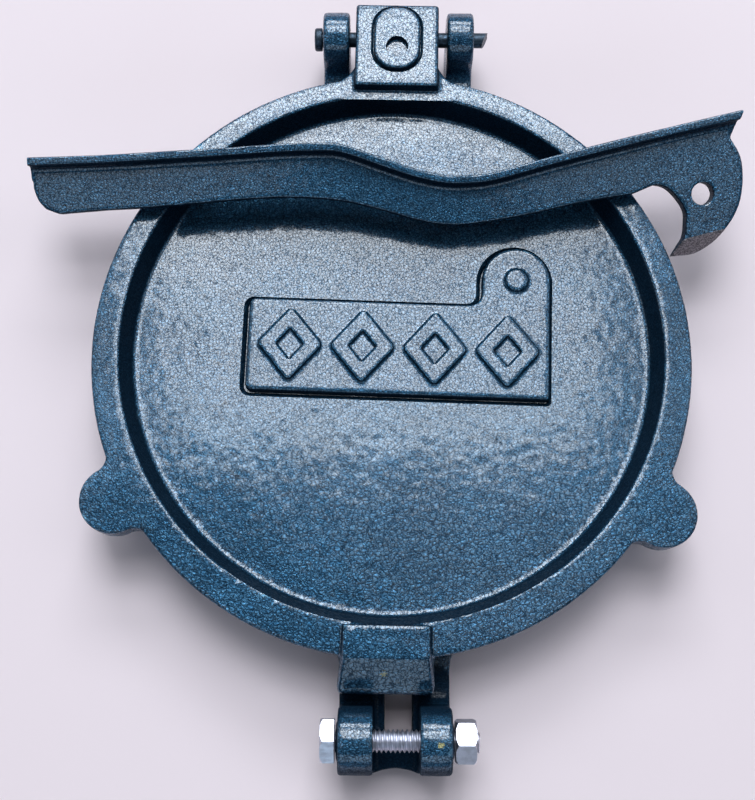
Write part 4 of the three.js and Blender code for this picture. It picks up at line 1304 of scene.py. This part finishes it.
def flange_section(lever):
    """The flange with a hollow fillet down to each face of the web, as depth and height pairs."""
    thick, stand, reach = lever.flange, lever.stand, LEVER_FILLET
    low = [(0, -stand + mm(0.3)), (mm(0.3), -stand), (thick - mm(0.5), -stand), (thick, -stand + mm(0.5))]
    low += bow((thick, -mm(1.4)), (thick + mm(0.1), 0), (thick + reach, mm(0.4)), 8)
    high = [(depth, lever.web - height) for depth, height in reversed(low)]
    return low + high


def lever_flange(sizes):
    """The flange, extruded station by station along the crown and cut obliquely at the hook's end."""
    lever = sizes.lever
    places, directions = smooth_line(lever_points(sizes, CROWN_SHARES), CROWN_STEPS)
    section = flange_section(lever)
    start, heading = places[0], directions[0]
    inward = Vector((heading.y, -heading.x))
    bpy.ops.object.select_all(action="DESELECT")
    bpy.ops.mesh.primitive_circle_add(vertices=len(section), radius=mm(1), fill_type="NGON")
    body = bpy.context.object
    for vertex, (depth, height) in zip(body.data.vertices, section):
        vertex.co = (start.x + inward.x * depth, start.y + inward.y * depth, height)
    edit(body)
    bpy.ops.mesh.select_all(action="SELECT")
    beyond = places[-1] + directions[-1] * mm(4)
    stations = list(zip(places[1:] + [beyond], directions[1:] + [directions[-1]]))
    for place, direction in stations:
        step = place - start
        bpy.ops.mesh.extrude_region_move(TRANSFORM_OT_translate={"value": (step.x, step.y, 0)})
        turn = math.atan2(heading.x * direction.y - heading.y * direction.x, heading.dot(direction))
        if abs(turn) > 1e-7:
            bpy.ops.transform.rotate(value=-turn, orient_axis="Z", center_override=(place.x, place.y, 0))
        start, heading = place, direction
    tidy_normals()
    end = places[-1]
    cut = Vector((-LEVER_END_CUT[1], LEVER_END_CUT[0], 0))
    bpy.ops.mesh.select_all(action="SELECT")
    bpy.ops.mesh.bisect(plane_co=(end.x, end.y, 0), plane_no=cut, use_fill=True, clear_outer=True)
    tidy_normals()
    leave()
    return body


def lever_casting(sizes):
    body = cast("lever_casting", [lever_web(sizes), lever_flange(sizes)], LEVER_GRAIN, sizes.triangles, 2,
                LEVER_UNEVENNESS, LEVER_SAND)
    settle(body, lever_place(sizes))
    return body


# Hinge pin, pivot bolt and nut

def hinge_rivet(sizes):
    """A headed pin whose tail is cut off at a slant."""
    y, z, r = sizes.hinge_y, sizes.hinge_z, sizes.hinge.pin_radius
    seat, end = -sizes.hinge_outer - SEAT_GAP, sizes.hinge_outer + PIN_TAIL
    shank = rod("Shank", r, seat - mm(1), end, y, z, 56)
    edit(shank)
    bpy.ops.mesh.select_all(action="SELECT")
    bpy.ops.mesh.bisect(plane_co=(end - PIN_TAIL_CUT, y, z), plane_no=Vector(PIN_TAIL_SLANT).normalized(),
                        use_fill=True, clear_outer=True)
    leave()
    head = rod("Head", PIN_HEAD_RADIUS, seat - PIN_HEAD_THICKNESS, seat, y, z, 56)
    soften(head, PIN_HEAD_ROUND, rim_edges(0, seat - PIN_HEAD_THICKNESS), 4)
    soften(head, PIN_HEAD_SEAT_ROUND, rim_edges(0, seat), 3)
    return shade(carve(head, shank, "UNION"), "hinge_rivet", PIN_CREASE)


def hexagon(name, sizes, flats, low, high, turn):
    """A hexagonal bar along X, one of its corners at a turn in degrees."""
    corner = flats / math.sqrt(3)
    y, z = sizes.bolt_y, sizes.bolt_z
    outline = [(y + corner * math.cos(math.radians(turn + 60 * i)),
                z + corner * math.sin(math.radians(turn + 60 * i))) for i in range(6)]
    return prism(name, outline, low, high, "X")


def corner_blank(sizes, flats, low, high, ends):
    """A round bar a little over the corners, chamfered at the ends given."""
    corner = flats / math.sqrt(3) * BLANK_OVER
    chamfer = (corner - flats / 2 * CHAMFER_START) * CHAMFER_WIDTH
    blank = rod("Blank", corner, low, high, sizes.bolt_y, sizes.bolt_z, 72)
    edit(blank)
    for end in ends:
        choose(blank, "EDGE", rim_edges(0, end))
        bpy.ops.mesh.bevel(offset_type="WIDTH", offset=chamfer, segments=1, affect="EDGES")
    leave()
    return blank


def threaded_bar(sizes, low, high):
    """A thread swept by the screw modifier, cut square at both ends."""
    bolt = sizes.bolt
    root, pitch = bolt.radius - bolt.thread_depth, bolt.pitch
    rise_start, rise_end, fall_start, fall_end = (share * pitch for share in THREAD_FLANKS)
    profile = [(0, root), (rise_start, root), (rise_end, bolt.radius), (fall_start, bolt.radius),
               (fall_end, root), (pitch, root)]
    bpy.ops.object.select_all(action="DESELECT")
    bpy.ops.mesh.primitive_circle_add(vertices=len(profile), radius=mm(1), fill_type="NOTHING")
    bar = bpy.context.object
    for vertex, (x, r) in zip(bar.data.vertices, profile):
        vertex.co = (x, r, 0)
    edit(bar)
    choose(bar, "EDGE", lambda c: abs(c[0][0] - c[1][0]) > pitch * 0.9)
    bpy.ops.mesh.delete(type="EDGE")
    leave()
    turns = math.ceil((high - low) / pitch) + 4
    apply_modifier(bar, "SCREW", axis="X", angle=math.tau, screw_offset=pitch, iterations=turns,
                   steps=THREAD_STEPS, render_steps=THREAD_STEPS, use_merge_vertices=True,
                   merge_threshold=mm(0.01))
    settle(bar, Matrix.Translation((low - 2 * pitch, sizes.bolt_y, sizes.bolt_z)))
    edit(bar)
    for place, direction in ((low, -1), (high, 1)):
        bpy.ops.mesh.select_all(action="SELECT")
        bpy.ops.mesh.bisect(plane_co=(place, 0, 0), plane_no=(direction, 0, 0), use_fill=True,
                            clear_outer=True)
    tidy_normals()
    leave()
    return bar


def pivot_bolt(sizes):
    bolt = sizes.bolt
    seat = sizes.head_seat
    low = seat - bolt.head_thickness
    head = hexagon("Head", sizes, bolt.head_flats, low, seat, HEAD_TURN)
    carve(head, corner_blank(sizes, bolt.head_flats, low, seat, [low]), "INTERSECT")
    end = sizes.nut_seat + bolt.nut_thickness + BOLT_PAST_NUT
    return shade(carve(head, threaded_bar(sizes, seat - mm(1), end), "UNION"), "pivot_bolt", BOLT_CREASE)


def pivot_nut(sizes):
    bolt = sizes.bolt
    low = sizes.nut_seat
    high = low + bolt.nut_thickness
    body = hexagon("Nut", sizes, bolt.nut_flats, low, high, NUT_TURN)
    carve(body, corner_blank(sizes, bolt.nut_flats, low, high, [low, high]), "INTERSECT")
    bore = rod("Bore", sizes.bolt_bore, low - CUT_PAST, high + CUT_PAST, sizes.bolt_y, sizes.bolt_z)
    return shade(carve(body, bore), "pivot_nut", NUT_CREASE)


# Stage

CAMERA_PLACE = (mm(-5.27), mm(-90.74), mm(377.5))
CAMERA_TILT = (math.radians(12.25), 0.0, math.radians(0.365))
CAMERA_LENS = 59.6
SENSOR_WIDTH = 36.0
FLOOR_SIZE = 8.0
LIGHT_AIM = (0.0, 0.0, 0.02)
DAYLIGHT = (0.93, 1.0, 1.07)
SKYLIGHT = (0.78, 1.0, 1.22)
ROOM_COLOUR = (0.86, 0.90, 1.0)
ROOM_STRENGTH = 0.03

# Each light's name, power in watts, place, width, height and colour
LIGHTS = (
    ("Back light", 10.0, (0.0, 0.73, 2.91), 1.20, 0.53, DAYLIGHT),
    ("Key light", 17.0, (-0.10, 1.32, 2.69), 1.42, 0.75, DAYLIGHT),
    ("Rear light", 19.0, (-0.10, 1.62, 2.52), 1.75, 0.84, DAYLIGHT),
    ("Low rear light", 33.0, (0.0, 2.38, 1.83), 1.85, 0.79, DAYLIGHT),
    ("Left light", 8.3, (-1.55, 1.22, 2.27), 1.25, 2.78, DAYLIGHT),
    ("Right light", 7.0, (1.55, 1.22, 2.27), 1.25, 2.78, DAYLIGHT),
    ("Top light", 1.6, (0.25, 0.28, 2.99), 1.60, 0.60, DAYLIGHT),
    ("Near left light", 2.0, (-0.78, -0.72, 2.81), 0.90, 1.10, DAYLIGHT),
    ("Near right light", 1.3, (0.85, -0.72, 2.79), 0.70, 1.10, DAYLIGHT),
    ("Left side light", 4.3, (-2.77, 0.23, 1.06), 1.15, 1.15, DAYLIGHT),
    ("Right side light", 4.8, (2.12, 0.23, 2.12), 1.15, 1.60, DAYLIGHT),
    ("Front light", 11.0, (0.0, -2.60, 1.50), 3.00, 1.30, SKYLIGHT),
)


def soft_light(name, power, place, width, height, colour):
    """A soft rectangular light aimed at the press."""
    bpy.ops.object.light_add(type="AREA", location=place)
    lamp = bpy.context.object
    lamp.name = name
    lamp.data.shape = "RECTANGLE"
    lamp.data.size = width
    lamp.data.size_y = height
    lamp.data.energy = power
    lamp.data.color = colour
    lamp.rotation_euler = (Vector(LIGHT_AIM) - Vector(place)).to_track_quat("-Z", "Y").to_euler()


def floor_material(finish):
    material, tree, shader, place = new_material("Pale floor")
    cloud = put(tree, "ShaderNodeTexNoise", {"Vector": place, "Scale": FLOOR_CLOUDS_PER_METRE,
                                             "Detail": 2.0})
    dim = tuple(c * FLOOR_DIM for c in finish.floor)
    use(tree, shader, Base_Color=blend_colour(tree, cloud.outputs["Fac"], rgba(finish.floor), rgba(dim)),
        Roughness=FLOOR_ROUGHNESS)
    return material


def build_stage(sizes):
    bpy.ops.object.select_all(action="DESELECT")
    bpy.ops.mesh.primitive_plane_add(size=FLOOR_SIZE, location=(0, 0, 0))
    floor = bpy.context.object
    floor.name = "studio_floor"
    floor.data.materials.append(floor_material(sizes.finish))
    for light in LIGHTS:
        soft_light(*light)
    world = bpy.data.worlds.new("Studio")
    bpy.context.scene.world = world
    world.use_nodes = True
    background = world.node_tree.nodes["Background"]
    background.inputs["Color"].default_value = rgba(ROOM_COLOUR)
    background.inputs["Strength"].default_value = ROOM_STRENGTH
    bpy.ops.object.camera_add(location=CAMERA_PLACE, rotation=CAMERA_TILT)
    camera = bpy.context.object
    camera.name = "Camera"
    camera.data.sensor_fit = "HORIZONTAL"
    camera.data.sensor_width = SENSOR_WIDTH
    camera.data.lens = CAMERA_LENS
    camera.data.clip_start = 0.01
    bpy.context.scene.camera = camera
    bpy.context.scene.view_settings.view_transform = "Standard"


# Operators, panel and registration

class PRESS_OT_stage(Operator):
    """Adds the pale floor, the soft lights and the camera"""
    bl_idname = "roti_press.stage"
    bl_label = "Stage"

    def execute(self, context):
        build_stage(Sizes(context))
        return {"FINISHED"}


class PRESS_OT_base(Operator):
    """Builds the base casting with its rear arms and slotted front tongue"""
    bl_idname = "roti_press.base"
    bl_label = "Base casting"

    def execute(self, context):
        sizes = Sizes(context)
        chip = ((mm(11.8), sizes.bolt_y - mm(0.6), sizes.bolt_z + mm(9.2)), mm(1.0))
        # Painted shade on steep faces and below two levels, full within a circle round the pivot bolt
        finish = hammered_paint("Hammered paint, base", sizes.finish, chips=[chip], shaded_below=SHADE_LEVELS,
                                shade_circles=[((0.0, sizes.bolt_y, 0.0), LUG_SHADE_RADIUS)])
        dress(base_casting(sizes), finish, "base", "base_plate")
        return {"FINISHED"}


class PRESS_OT_upper(Operator):
    """Builds the upper casting with its pan, tabs, lugs and raised ornament"""
    bl_idname = "roti_press.upper"
    bl_label = "Upper casting"

    def execute(self, context):
        sizes = Sizes(context)
        chip = ((mm(-3.5), mm(-92.0), sizes.rim_top + mm(2.5)), mm(1.5))
        # Painted shade on steep faces, full inside the rim and round the back lug
        finish = hammered_paint("Hammered paint, upper", sizes.finish, chips=[chip], pooled=POOLED_SPAN,
                                shade_circles=[((0.0, 0.0, 0.0), sizes.plate.radius - RIM_OPEN_EDGE),
                                           ((0.0, sizes.hinge_y, 0.0), LUG_SHADE_RADIUS)])
        dress(upper_casting(sizes), finish, "plate", "upper_plate")
        return {"FINISHED"}


class PRESS_OT_lever(Operator):
    """Builds the flanged pressing lever where it lies across the plate"""
    bl_idname = "roti_press.lever"
    bl_label = "Lever"

    def execute(self, context):
        sizes = Sizes(context)
        # Painted shade on steep faces, full over the whole lever
        finish = hammered_paint("Hammered paint, lever", sizes.finish, LEVER_CELLS,
                                ground=grind_plane(sizes), shade_circles=[((0.0, 0.0, 0.0), LEVER_SHADE_RADIUS)])
        dress(lever_casting(sizes), finish, "lever", "lever")
        return {"FINISHED"}


class PRESS_OT_pin(Operator):
    """Builds the riveted hinge pin"""
    bl_idname = "roti_press.pin"
    bl_label = "Hinge pin"

    def execute(self, context):
        sizes = Sizes(context)
        finish = dark_steel("Painted steel", sizes.finish)
        dress(hinge_rivet(sizes), finish, "hinge_pin", "hinge_pin")
        return {"FINISHED"}


class PRESS_OT_bolt(Operator):
    """Builds the threaded pivot bolt and its nut"""
    bl_idname = "roti_press.bolt"
    bl_label = "Pivot bolt and nut"

    def execute(self, context):
        sizes = Sizes(context)
        finish = plated_zinc("Zinc plating", sizes.finish)
        dress(pivot_bolt(sizes), finish, "pivot_bolt", "clevis_bolt")
        dress(pivot_nut(sizes), finish, "pivot_bolt", "clevis_nut")
        return {"FINISHED"}


class PRESS_PT_panel(Panel):
    """Lists the press's pieces, its sizes and its colours"""
    bl_idname = "PRESS_PT_panel"
    bl_label = "Roti press"
    bl_space_type = "VIEW_3D"
    bl_region_type = "UI"
    bl_category = "Roti press"

    def draw(self, context):
        layout = self.layout
        for operator in OPERATORS:
            layout.operator(operator.bl_idname)
        settings = context.scene.roti_press
        for group in (settings.plate, settings.hinge, settings.lever, settings.bolt, settings.finish):
            box = layout.box()
            for name in group.__annotations__:
                box.prop(group, name)


OPERATORS = (PRESS_OT_stage, PRESS_OT_base, PRESS_OT_upper, PRESS_OT_lever, PRESS_OT_pin, PRESS_OT_bolt)
GROUPS = (PressPlateSizes, PressHingeSizes, PressLeverSizes, PressBoltSizes, PressFinish, PressSettings)


def register():
    for item in (*GROUPS, *OPERATORS, PRESS_PT_panel):
        bpy.utils.register_class(item)
    bpy.types.Scene.roti_press = PointerProperty(type=PressSettings)


def unregister():
    del bpy.types.Scene.roti_press
    for item in reversed((*GROUPS, *OPERATORS, PRESS_PT_panel)):
        bpy.utils.unregister_class(item)


def main():
    register()
    bpy.ops.roti_press.stage()
    bpy.ops.roti_press.base()
    bpy.ops.roti_press.upper()
    bpy.ops.roti_press.lever()
    bpy.ops.roti_press.pin()
    bpy.ops.roti_press.bolt()


if __name__ == "__main__":
    main()
